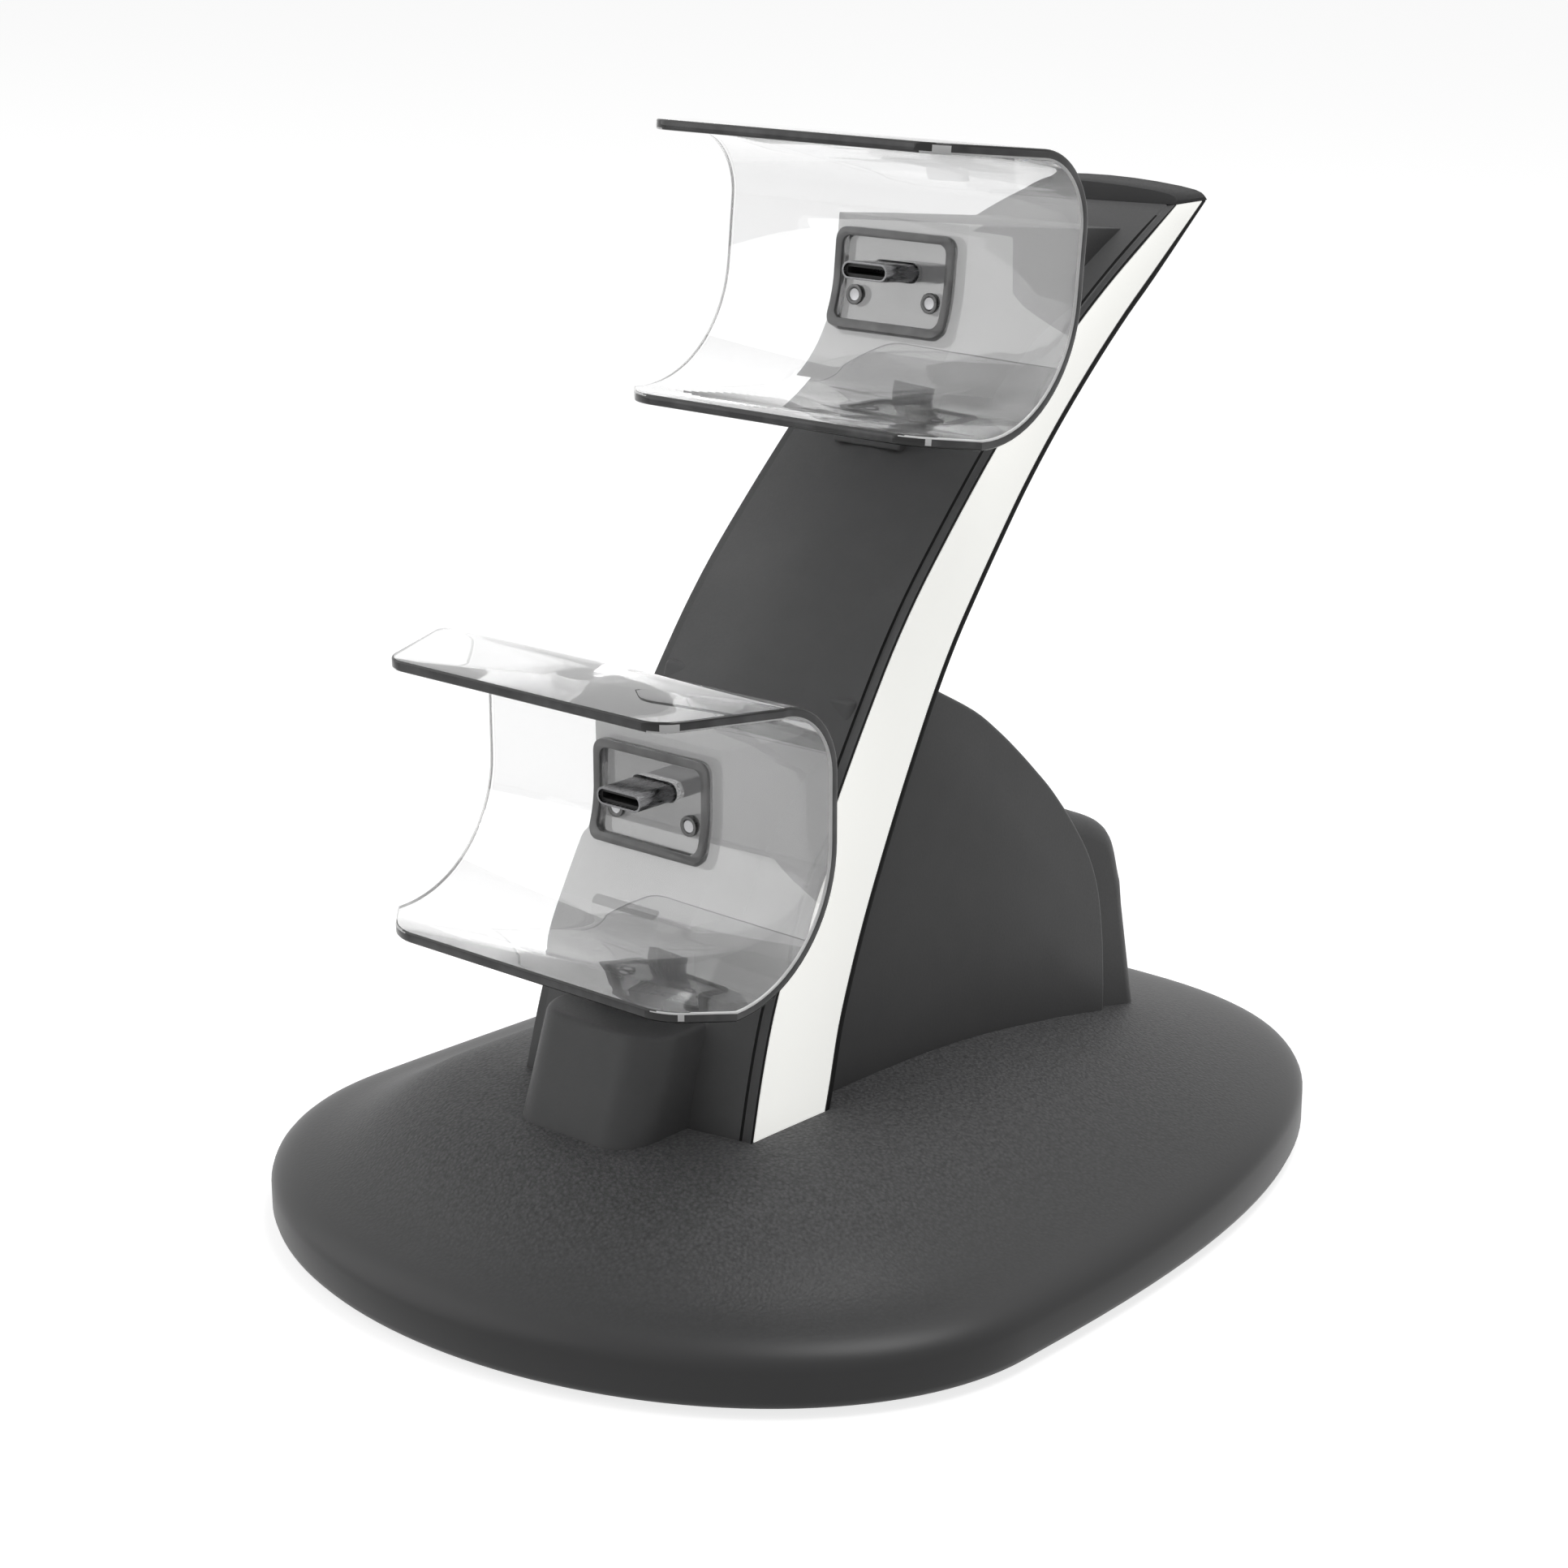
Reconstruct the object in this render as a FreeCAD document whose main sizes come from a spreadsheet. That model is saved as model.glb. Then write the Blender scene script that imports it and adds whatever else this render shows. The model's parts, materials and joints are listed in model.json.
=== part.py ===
import FreeCAD, Part
import math
import os
from FreeCAD import Vector

# Two-place game controller charging dock, millimetres, +Z up, front towards -Y.
# Origin: centre of the footprint, on the plane of the rubber feet.

doc = FreeCAD.newDocument("charging_dock")
sheet = doc.addObject("Spreadsheet::Sheet", "Dims")

VALUES = [
    # base
    ("base_width", 130.8, "widest across the base"),
    ("base_front_reach", 84.5, "front edge from the origin"),
    ("base_rear_reach", 84.5, "rear edge from the origin"),
    ("base_wide_at", -34.4, "where the base is widest"),
    ("base_rise", 21.5, "height of the domed cover"),
    ("base_rim", 6.3, "height of the upright rim of the cover"),
    ("dome_run", 44.0, "from the rim to the flat crown"),
    ("cover_wall", 2.5, "wall of the cover"),
    ("rim_tuck", 0.9, "inward rounding of the lower rim"),
    ("front_roundness", 2.0, "plan exponent, front half"),
    ("rear_roundness", 2.49, "plan exponent, rear half"),
    ("plate_thick", 2.2, "bottom plate"),
    ("plate_gap", 0.1, "clearance of the bottom plate in the cover"),
    ("foot_radius", 7.0, "rubber foot"),
    ("foot_proud", 1.2, "rubber foot below the base"),
    ("foot_across", "=base_width * 0.283", "feet from the middle plane"),
    ("foot_front", "=-base_front_reach * 0.556", "front feet"),
    ("foot_rear", "=base_rear_reach * 0.651", "rear feet"),
    ("weight_width", 62.0, "steel weight"),
    ("weight_length", 84.0, "steel weight"),
    ("weight_thick", 6.0, "steel weight"),
    ("weight_at", 2.0, "steel weight centre"),
    ("board_width", 50.0, "main board"),
    ("board_length", 38.0, "main board"),
    ("board_thick", 1.6, "main board"),
    ("standoff_rise", 3.0, "standoffs under the main board"),
    ("standoff_radius", 2.2, "standoffs under the main board"),
    ("screw_radius", 1.3, "base screw shank"),
    ("screw_head", 2.6, "base screw head"),
    ("boss_radius", 3.6, "screw posts inside the cover"),
    ("boss_across_front", "=base_width * 0.336", "front posts"),
    ("boss_front", -25.0, "front posts"),
    ("boss_across_rear", "=base_width * 0.321", "rear posts"),
    ("boss_rear", 30.0, "rear posts"),
    # upright
    ("upright_foot_at", -41.2, "front edge of the upright at its foot"),
    ("upright_rise", 119.0, "height of the upright above the cover"),
    ("upright_run", 100.5, "how far the top lies behind the foot"),
    ("upright_foot_width", 44.1, "width at the foot"),
    ("upright_top_width", 35.6, "width at the top"),
    ("upright_foot_thick", 16.8, "front to back at the foot"),
    ("upright_tip_thick", 5.9, "front to back near the top"),
    ("upright_taper", 1.48, "how late the upright thins toward its top"),
    ("upright_top_flat", 8.4, "front to back of the top face"),
    ("ridge", 3.0, "rise of the ridge along the front face"),
    ("skin", 2.2, "front and rear skins"),
    ("front_lip", 0.6, "edge of the front skin beside the diffuser"),
    ("rear_lip", 1.0, "edge of the rear skin beside the diffuser"),
    ("channel_wall", 1.6, "inner walls of the rear skin"),
    ("strip_depth", 1.8, "diffuser thickness"),
    ("strip_pocket", 3.4, "depth of the side pocket"),
    ("fit_gap", 0.1, "gap between parts that fit together"),
    ("cap_thick", 1.3, "closing cap at the top"),
    ("cap_crown", 1.2, "how much higher the cap is in its middle"),
    # cradles
    ("cradle_width", 65.3, "width at the back wall"),
    ("cradle_mouth", 51.4, "width at the front edges"),
    ("cradle_height", 40.55, "outside height"),
    ("cradle_depth", 27.2, "outside depth"),
    ("cradle_sheet", 1.5, "wall of the clear sheet"),
    ("bend_top", 11.0, "outer radius of the top bend"),
    ("bend_bottom", 20.1, "outer radius of the bottom bend"),
    ("cradle_corner", 3.0, "corner rounding at the mouth"),
    ("lower_cradle_y", -62.6, "lower cradle, front edge"),
    ("lower_cradle_z", 47.2, "lower cradle, underside"),
    ("upper_cradle_y", -12.85, "upper cradle, front edge"),
    ("upper_cradle_z", 116.3, "upper cradle, underside"),
    ("upper_cradle_lean", 5.8, "backward lean of the upper cradle, degrees"),
    # mounts behind the cradles
    ("block_width", 24.0, "mounting block at the cradle"),
    ("block_flare", 3.2, "how much wider it is at the upright"),
    ("block_top", 28.7, "top of the block above the cradle's underside"),
    ("block_base", 4.5, "bottom of the block above the cradle's underside"),
    ("block_wall", 1.8, "wall of the hollow block"),
    ("gusset_width", 12.5, "support under the bend"),
    ("lower_gusset_at", 19.5, "front of the lower support"),
    ("upper_gusset_at", 22.0, "front of the upper support"),
    ("upper_gusset_drop", 4.0, "upper support below the cradle's underside"),
    # plug plates
    ("plate_w", 21.8, "plug plate width"),
    ("plate_h", 14.4, "plug plate height"),
    ("plate_mid", 19.7, "plug plate centre above the cradle's underside"),
    ("plate_corner", 2.0, "plug plate corners"),
    ("plate_lap", 0.7, "rim of the plug plate over the sheet's window"),
    ("plate_dip", 0.25, "plug plate's panel below the sheet's surface"),
    ("rim_width", 1.2, "raised border of the plug plate"),
    ("rim_rise", 0.3, "raised border of the plug plate"),
    ("plug_level", 21.15, "plug axis above the cradle's underside"),
    ("plug_w", 8.34, "plug shell width, standard size"),
    ("plug_t", 2.56, "plug shell height, standard size"),
    ("plug_wall", 0.3, "plug shell metal"),
    ("plug_reach", 6.8, "plug in front of the wall"),
    ("plug_body_w", 11.6, "plug body width"),
    ("plug_body_h", 5.4, "plug body height"),
    ("plug_body_d", 4.2, "plug body depth"),
    ("mini_board_w", 13.6, "plug board width"),
    ("mini_board_h", 9.0, "plug board height"),
    ("mini_board_t", 0.8, "plug board thickness"),
    ("pin_across", 7.0, "plate screws from the middle"),
    ("pin_level", 17.2, "plate screws above the cradle's underside"),
    ("pin_radius", 0.9, "plate screw shank"),
    ("pin_head", 1.5, "plate screw head"),
    ("pin_head_t", 0.6, "plate screw head"),
    ("pin_reach", 4.4, "plate screw shank length"),
    # foot boss in front of the upright
    ("boss_width", 23.6, "front foot width"),
    ("boss_reach", 13.4, "front foot ahead of the upright at the base"),
    ("boss_height", 14.5, "front foot height above the crown"),
    ("boss_rake", 6.9, "backward rake of its front face"),
    ("boss_round", 7.0, "rounding of its corners"),
    # rear housing
    ("housing_width", 36.0, "rear housing width"),
    ("housing_wall", 2.0, "rear housing wall"),
    ("housing_start", 57.0, "height above the crown where it leaves the upright"),
    ("bay_width", 33.0, "rear bay width"),
    ("bay_reach", 13.0, "rear bay behind the arc's end"),
    ("bay_round", 5.0, "rear bay corner rounding"),
    ("bay_height", 28.0, "rear bay height above the crown"),
    # power inlet
    ("socket_w", 8.94, "inlet shell width, standard size"),
    ("socket_t", 3.26, "inlet shell height, standard size"),
    ("socket_wall", 0.3, "inlet shell metal"),
    ("socket_depth", 7.3, "inlet shell depth"),
    ("socket_level", 9.0, "inlet axis above the crown"),
    ("socket_gap", 0.2, "gap of the inlet in the housing wall"),
    ("tongue_t", 0.7, "inlet tongue thickness"),
]
for row, (name, value, note) in enumerate(VALUES, 1):
    sheet.set("A%d" % row, name)
    sheet.set("B%d" % row, str(value))
    sheet.set("C%d" % row, note)
    sheet.setAlias("B%d" % row, name)
doc.recompute()


def v(name):
    return float(getattr(sheet, name))


NODES = []


def keep(obj, label):
    obj.Label = label
    NODES.append(obj)
    return obj


def feature(label, shape, place=None):
    obj = doc.addObject("Part::Feature", label)
    obj.Shape = shape
    obj.Placement = place if place is not None else FreeCAD.Placement()
    return keep(obj, label)


def plane(body, role):
    for item in body.Origin.OriginFeatures:
        if item.Role == role:
            return item


def new_sketch(body, role, name):
    sk = body.newObject("Sketcher::SketchObject", name)
    sk.AttachmentSupport = [(plane(body, role), "")]
    sk.MapMode = "FlatFace"
    return sk


def rect_lines(sk, width, height, names=("wide", "high")):
    w, d = v(width) / 2, v(height) / 2
    pts = [Vector(-w, -d, 0), Vector(w, -d, 0), Vector(w, d, 0), Vector(-w, d, 0)]
    first = sk.GeometryCount
    for i in range(4):
        sk.addGeometry(Part.LineSegment(pts[i], pts[(i + 1) % 4]), False)
    import Sketcher
    for i in range(4):
        sk.addConstraint(Sketcher.Constraint("Coincident", first + i, 2, first + (i + 1) % 4, 1))
    sk.addConstraint(Sketcher.Constraint("Horizontal", first))
    sk.addConstraint(Sketcher.Constraint("Vertical", first + 1))
    sk.addConstraint(Sketcher.Constraint("Horizontal", first + 2))
    sk.addConstraint(Sketcher.Constraint("Vertical", first + 3))
    sk.addConstraint(Sketcher.Constraint("Symmetric", first, 1, first + 1, 2, -1, 1))
    n = sk.addConstraint(Sketcher.Constraint("DistanceX", first, 1, first, 2, 2 * w))
    sk.renameConstraint(n, names[0])
    sk.setExpression("Constraints." + names[0], "Dims." + width)
    n = sk.addConstraint(Sketcher.Constraint("DistanceY", first + 1, 1, first + 1, 2, 2 * d))
    sk.renameConstraint(n, names[1])
    sk.setExpression("Constraints." + names[1], "Dims." + height)


def slab(label, width, height, thick, place, role="XY_Plane", hole=None):
    body = doc.addObject("PartDesign::Body", label)
    sk = new_sketch(body, role, label + "_outline")
    rect_lines(sk, width, height)
    if hole:
        for x, y, r in hole:
            sk.addGeometry(Part.Circle(Vector(x, y, 0), Vector(0, 0, 1), r), False)
    pad = body.newObject("PartDesign::Pad", label + "_pad")
    pad.Profile = sk
    pad.setExpression("Length", "Dims." + thick)
    body.Placement = place
    return keep(body, label)


def at(x, y, z, axis=(0, 0, 1), angle=0.0):
    return FreeCAD.Placement(Vector(x, y, z), FreeCAD.Rotation(Vector(*axis), angle))


# Base outline: superellipse with its own exponent in front of and behind the widest line.
half = v("base_width") / 2
y_mid = v("base_wide_at")
crown = v("foot_proud") + v("base_rise")
rim_top = v("foot_proud") + v("base_rim")


def outline(inset, z, count=88):
    k = (half - inset) / half
    pts = []
    for i in range(count):
        a = 2 * math.pi * i / count
        c, s_ = math.cos(a), math.sin(a)
        n = v("front_roundness") if s_ < 0 else v("rear_roundness")
        reach = (v("base_front_reach") + y_mid) if s_ < 0 else (v("base_rear_reach") - y_mid)
        x = math.copysign(abs(c) ** (2 / n), c) * half * k
        y = y_mid + math.copysign(abs(s_) ** (2 / n), s_) * reach * k
        pts.append(Vector(x, y, z))
    return pts


def closed(pts):
    return Part.makePolygon(pts + pts[:1])


def wrap(rings):
    """Solid of flat faces between rings that have the same number of points."""
    faces = [Part.Face(closed(rings[0])), Part.Face(closed(rings[-1]))]
    for low_ring, high_ring in zip(rings, rings[1:]):
        for i in range(len(low_ring)):
            j = (i + 1) % len(low_ring)
            a, b, c, d = low_ring[i], low_ring[j], high_ring[j], high_ring[i]
            normal = (b - a).cross(d - a)
            if normal.Length > 1e-9 and abs((c - a).dot(normal)) / normal.Length < 1e-7:
                faces.append(Part.Face(closed([a, b, c, d])))
            else:
                faces += [Part.Face(closed([a, b, c])), Part.Face(closed([a, c, d]))]
    joined = Part.makeCompound(faces)
    joined.sewShape()
    solid = Part.Solid(joined.Shells[0])
    if solid.Volume < 0:
        solid.reverse()
    return solid


def peg(radius, start, length, axis="z", sides=12):
    """Round peg or hole of small size, along one axis."""
    pts = []
    for i in range(sides):
        a, b = radius * math.cos(2 * math.pi * i / sides), radius * math.sin(2 * math.pi * i / sides)
        pts.append(start + (Vector(a, b, 0) if axis == "z" else Vector(a, 0, b)))
    return Part.Face(closed(pts)).extrude(Vector(0, 0, length) if axis == "z" else Vector(0, length, 0))


run, dome = v("dome_run"), v("base_rise") - v("base_rim")
ARC = [(0.0, 0.0), (0.010, 0.080), (0.036, 0.142), (0.11, 0.247), (0.24, 0.404), (0.41, 0.59), (0.61, 0.781),
       (0.80, 0.922), (0.92, 0.98), (1.0, 1.0)]
low = v("foot_proud")
tuck = v("rim_tuck")
outer_rings = [outline(tuck, low), outline(0, low + 1.3)]
outer_rings += [outline(a * run, rim_top + b * dome) for a, b in ARC]
base_solid = wrap(outer_rings)
wall = v("cover_wall")
inner_rings = [outline(wall, low - 0.6, 48), outline(wall, rim_top - wall + 0.6, 48)]
inner_rings += [outline(wall + a * run, rim_top - wall + b * dome, 48) for a, b in ARC[3::2]]
hollow = wrap(inner_rings)
cover = base_solid.cut(hollow)
posts = [(sx * v("boss_across_front"), v("boss_front")) for sx in (-1, 1)]
posts += [(sx * v("boss_across_rear"), v("boss_rear")) for sx in (-1, 1)]
plate_top = low + v("plate_thick")
inside_roof = wrap([outline(wall * 0.5, low, 48), outline(wall * 0.5, rim_top - 1.0, 48)] +
                   [outline(wall * 0.5 + a * run, rim_top - wall * 0.5 + b * dome, 48) for a, b in ARC[3::2]])
columns = [peg(v("boss_radius"), Vector(x, y, plate_top + v("fit_gap")), 40).common(inside_roof) for x, y in posts]
cover = cover.fuse(columns)
cover = cover.cut(Part.makeCompound([peg(v("screw_radius") + 0.1, Vector(x, y, plate_top - 1), 8.0) for x, y in posts]))
# slot in the crown for the wiring that goes up into the upright
slot_y = v("upright_foot_at") + v("upright_foot_thick") * 0.52
slot = Part.makeBox(12, 6, 12, Vector(-6, slot_y - 3, crown - 8))
cover = cover.cut(slot)
feature("base_cover", sorted(cover.Solids, key=lambda item: -item.Volume)[0])

# bottom plate with counterbored screw holes
ring = Part.Face(closed(outline(wall + v("plate_gap"), low, 48)))
bottom = ring.extrude(Vector(0, 0, v("plate_thick")))
head_r = v("screw_head") + 0.2
for x, y in posts:
    bottom = bottom.cut(peg(v("screw_radius") + 0.2, Vector(x, y, low - 1), 6))
    bottom = bottom.cut(peg(head_r, Vector(x, y, low - 1), v("plate_thick") * 0.5 + 1, "z", 16))
feature("base_plate", bottom)

screws = []
for x, y in posts:
    z0 = low + v("plate_thick") * 0.5 - 1.0
    head = peg(v("screw_head"), Vector(x, y, z0), 1.0, "z", 16)
    shank = peg(v("screw_radius"), Vector(x, y, z0 + 1.0), 6.0)
    screws.append(head.fuse(shank).removeSplitter())
feature("base_screws", Part.makeCompound(screws))

# rubber feet
for name, sx, yy in (("foot_front_left", -1, "foot_front"), ("foot_front_right", 1, "foot_front"),
                     ("foot_rear_left", -1, "foot_rear"), ("foot_rear_right", 1, "foot_rear")):
    feature(name, peg(v("foot_radius"), Vector(sx * v("foot_across"), v(yy), 0), v("foot_proud"), "z", 32))

# steel weight, standoffs and main board inside the base
slab("steel_weight", "weight_width", "weight_length", "weight_thick",
     at(0, v("weight_at"), plate_top + v("fit_gap")))
board_z = plate_top + v("fit_gap") + v("weight_thick") + v("standoff_rise")
offs = [(sx * (v("board_width") / 2 - 4), sy * (v("board_length") / 2 - 4)) for sx in (-1, 1) for sy in (-1, 1)]
weight_top = plate_top + v("fit_gap") + v("weight_thick")
feature("board_standoffs", Part.makeCompound([
    peg(v("standoff_radius"), Vector(x, y + v("weight_at"), weight_top), v("standoff_rise"), "z", 6)
    for x, y in offs]))
slab("main_board", "board_width", "board_length", "board_thick", at(0, v("weight_at"), board_z))

# Upright: stations along the curved front edge as fractions of its rise and run.
CURVE = [(0, 0), (0.1202, 0.0398), (0.2294, 0.0965), (0.3361, 0.1662), (0.4479, 0.2498), (0.5630, 0.3473),
         (0.6664, 0.4607), (0.7672, 0.5861), (0.8597, 0.7264), (0.9353, 0.8627), (1, 1)]
front_pts = [(v("upright_foot_at") + b * v("upright_run"), crown + a * v("upright_rise")) for a, b in CURVE]
track = Part.BSplineCurve()
track.interpolate([Vector(0, y, z) for y, z in front_pts])
steps = 18
front_pts = []
for i in range(steps + 1):
    at_ = track.value(track.FirstParameter + (track.LastParameter - track.FirstParameter) * i / steps)
    front_pts.append((at_.y, at_.z))
arc = [0.0]
for p, q in zip(front_pts, front_pts[1:]):
    arc.append(arc[-1] + math.hypot(q[0] - p[0], q[1] - p[1]))
STATIONS = []
for i, (y, z) in enumerate(front_pts):
    share = arc[i] / arc[-1]
    if i == 0 or i == len(front_pts) - 1:
        direction = (1.0, 0.0)
        thick = v("upright_foot_thick") if i == 0 else v("upright_top_flat")
    else:
        a, b = front_pts[i - 1], front_pts[i + 1]
        dy, dz = b[0] - a[0], b[1] - a[1]
        size = math.hypot(dy, dz)
        direction = (dz / size, -dy / size)
        thick = v("upright_foot_thick") - (v("upright_foot_thick") - v("upright_tip_thick")) * share ** v("upright_taper")
    wide = v("upright_foot_width") + (v("upright_top_width") - v("upright_foot_width")) * (z - crown) / v("upright_rise")
    STATIONS.append((y, z, direction, thick, wide / 2))


def ribbon(section, first=0, last=None, skip=1, rows=STATIONS):
    """Solid of one cross-section, given as (x, depth) points, along the stations."""
    rings = []
    for y, z, d, thick, hw in rows[first:last:skip]:
        rings.append([Vector(x, y + d[0] * t_, z + d[1] * t_) for x, t_ in section(thick, hw)])
    return wrap(rings)


rise = v("ridge")


def ridge_at(x, hw):
    return -rise * (1 - abs(x) / hw)


def block_section(thick, hw):
    return [(-hw, 0), (-hw * 0.3, -rise * 0.86), (0, -rise), (hw * 0.3, -rise * 0.86), (hw, 0), (hw, thick), (-hw, thick)]


upright_solid = ribbon(block_section)
pocket, lip, back, gap, skin = v("strip_pocket"), v("front_lip"), v("rear_lip"), v("fit_gap"), v("skin")


def front_section(thick, hw):
    a = hw - pocket
    return [(-hw, 0), (-hw * 0.3, -rise * 0.86), (0, -rise), (hw * 0.3, -rise * 0.86), (hw, 0),
            (hw, lip), (a, lip), (a, skin), (-a, skin), (-a, lip), (-hw, lip)]


def rear_section(thick, hw):
    a = hw - pocket
    b = a - v("channel_wall")
    f = thick - skin * 0.75
    return [(-hw, thick), (-hw, thick - back), (-a, thick - back), (-a, skin + gap), (-b, skin + gap), (-b, f),
            (b, f), (b, skin + gap), (a, skin + gap), (a, thick - back), (hw, thick - back), (hw, thick)]


def side_section(sign, x0, x1, inset=gap):
    def section(thick, hw):
        return [(sign * (hw - x0), lip + inset), (sign * (hw - x1), lip + inset),
                (sign * (hw - x1), thick - back - inset), (sign * (hw - x0), thick - back - inset)]
    return section


def harness_section(thick, hw):
    return [(-3.0, skin + 0.6), (3.0, skin + 0.6), (3.0, skin + 1.2), (-3.0, skin + 1.2)]


front = ribbon(front_section)
rear = ribbon(rear_section)
screw_pass = v("pin_radius") + 0.2


def largest(shape):
    return sorted(shape.Solids, key=lambda item: -item.Volume)[0]


feature("upright_front_shell", front)
feature("upright_rear_shell", rear)
feature("light_strip_left", ribbon(side_section(-1, 0.0, v("strip_depth"))))
feature("light_strip_right", ribbon(side_section(1, 0.0, v("strip_depth"))))
feature("led_board_left", ribbon(side_section(-1, pocket - 1.3, pocket - 0.4, 0.9), 1, steps - 1, 3))
feature("led_board_right", ribbon(side_section(1, pocket - 1.3, pocket - 0.4, 0.9), 1, steps - 1, 3))
feature("upright_harness", ribbon(harness_section, 0, steps - 2, 3))

# closing cap on the top face, higher in its middle and rounded down at its ends
y1, z1, d1, t1, hw1 = STATIONS[-1]
cap_rings = []
for share, drop in ((-1, 0.62), (-0.97, 0.25), (-0.88, 0.04), (-0.6, 0), (-0.3, 0), (0, 0), (0.3, 0), (0.6, 0), (0.88, 0.04), (0.97, 0.25), (1, 0.62)):
    front_d = -rise * (1 - 0.14 * abs(share) / 0.3) if abs(share) <= 0.3 else -rise * 0.86 * (1 - (abs(share) - 0.3) / 0.7)
    h_ = (v("cap_thick") + v("cap_crown") * (1 - share * share)) * (1 - drop)
    x_ = share * hw1
    cap_rings.append([Vector(x_, y1 + front_d, z1), Vector(x_, y1 + front_d + 0.8 * h_, z1 + h_),
                      Vector(x_, y1 + t1 - 0.5, z1 + h_), Vector(x_, y1 + t1, z1 + h_ - 0.4), Vector(x_, y1 + t1, z1)])
feature("upright_top_cap", wrap(cap_rings))

# Cradles: one clear sheet bent to a C, narrower at its mouth, in the cradle's own frame:
# y from the front edge to the back, z from the underside.
D, H, S = v("cradle_depth"), v("cradle_height"), v("cradle_sheet")
RT, RB = v("bend_top"), v("bend_bottom")


def arc_to(cy, cz, r, a0, a1):
    p = [Vector(0, cy + r * math.cos(math.radians(a)), cz + r * math.sin(math.radians(a))) for a in (a0, (a0 + a1) / 2, a1)]
    return Part.Arc(p[0], p[1], p[2]).toShape(), p[0], p[2]


def band(outer_off, inner_off, width):
    """C-shaped band between two offsets inward from the outer surface of the sheet."""
    edges = []

    def path(off):
        a_top = arc_to(D - RT, H - RT, RT - off, 90, 0)
        a_bot = arc_to(D - RB, RB, RB - off, 0, -90)
        start = Vector(0, 0, H - off)
        end = Vector(0, 0, off)
        return [Part.makeLine(start, a_top[1]), a_top[0], Part.makeLine(a_top[2], a_bot[1]), a_bot[0],
                Part.makeLine(a_bot[2], end)], start, end
    e1, s1, t1_ = path(outer_off)
    e2, s2, t2_ = path(inner_off)
    edges = e1 + [Part.makeLine(t1_, t2_)] + e2 + [Part.makeLine(s2, s1)]
    wire = Part.Wire(Part.__sortEdges__(edges))
    face = Part.Face(wire)
    face.translate(Vector(-width / 2, 0, 0))
    return face.extrude(Vector(width, 0, 0))


def envelope(width):
    """Everything inside the outer surface of the sheet."""
    a_top = arc_to(D - RT, H - RT, RT, 90, 0)
    a_bot = arc_to(D - RB, RB, RB, 0, -90)
    f, g = Vector(0, -30, H), Vector(0, -30, 0)
    edges = [Part.makeLine(f, a_top[1]), a_top[0], Part.makeLine(a_top[2], a_bot[1]), a_bot[0],
             Part.makeLine(a_bot[2], g), Part.makeLine(g, f)]
    face = Part.Face(Part.Wire(Part.__sortEdges__(edges)))
    face.translate(Vector(-width / 2, 0, 0))
    return face.extrude(Vector(width, 0, 0))


def rounded_rect(w, h, r, y0, depth, zc, xc=0.0, sides=4):
    """Prism with rounded corners along y."""
    pts = []
    for quarter, (sx, sz) in enumerate(((1, 1), (-1, 1), (-1, -1), (1, -1))):
        for i in range(sides + 1):
            a = (quarter + i / sides) * math.pi / 2
            pts.append(Vector(xc + sx * (w / 2 - r) + r * math.cos(a), y0, zc + sz * (h / 2 - r) + r * math.sin(a)))
    return Part.Face(closed(pts)).extrude(Vector(0, depth, 0))


def mouth_cutter(sign, run_, z0, z1_):
    """Prism that trims the flange from the mouth width to the full width."""
    a, b, c = v("cradle_mouth") / 2, v("cradle_width") / 2, v("cradle_corner")
    p0, p1 = Vector(sign * a, 0, z0), Vector(sign * b, run_, z0)
    out = Vector(sign * (b + 20), run_, z0)
    low_out = Vector(sign * (b + 20), -20, z0)
    low_in = Vector(sign * a, -20, z0)
    face = Part.Face(Part.makePolygon([p0, p1, out, low_out, low_in, p0]))
    return face.extrude(Vector(0, 0, z1_ - z0))


# depth of the screws' seats below the outer surface of the sheet
pin_seat = S - v("plate_dip") + 0.35 - v("pin_head_t") - 0.02


def cradle_shape():
    sheet_ = band(0, S, v("cradle_width"))
    mid = H / 2
    for sx in (-1, 1):
        sheet_ = sheet_.cut(mouth_cutter(sx, D - RT, mid, H + 5))
        sheet_ = sheet_.cut(mouth_cutter(sx, D - RB, -5, mid))
    # round the four mouth corners and the four corners where the flare ends
    corners = []
    for e in sheet_.Edges:
        if len(e.Vertexes) == 2 and abs(e.Length - S) < 1e-3:
            p, q = e.Vertexes[0].Point, e.Vertexes[1].Point
            if abs(p.y) < 1e-3 and abs(q.y) < 1e-3 and abs(abs(p.x) - v("cradle_mouth") / 2) < 1e-3:
                corners.append(e)
    sheet_ = sheet_.makeFillet(v("cradle_corner"), corners)
    lap = 2 * v("plate_lap") - 2 * gap
    window = rounded_rect(v("plate_w") - lap, v("plate_h") - lap, v("plate_corner") - v("plate_lap") * 0.5, D - 12, 20, v("plate_mid"))
    sheet_ = sheet_.cut(window)
    return sheet_


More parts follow.
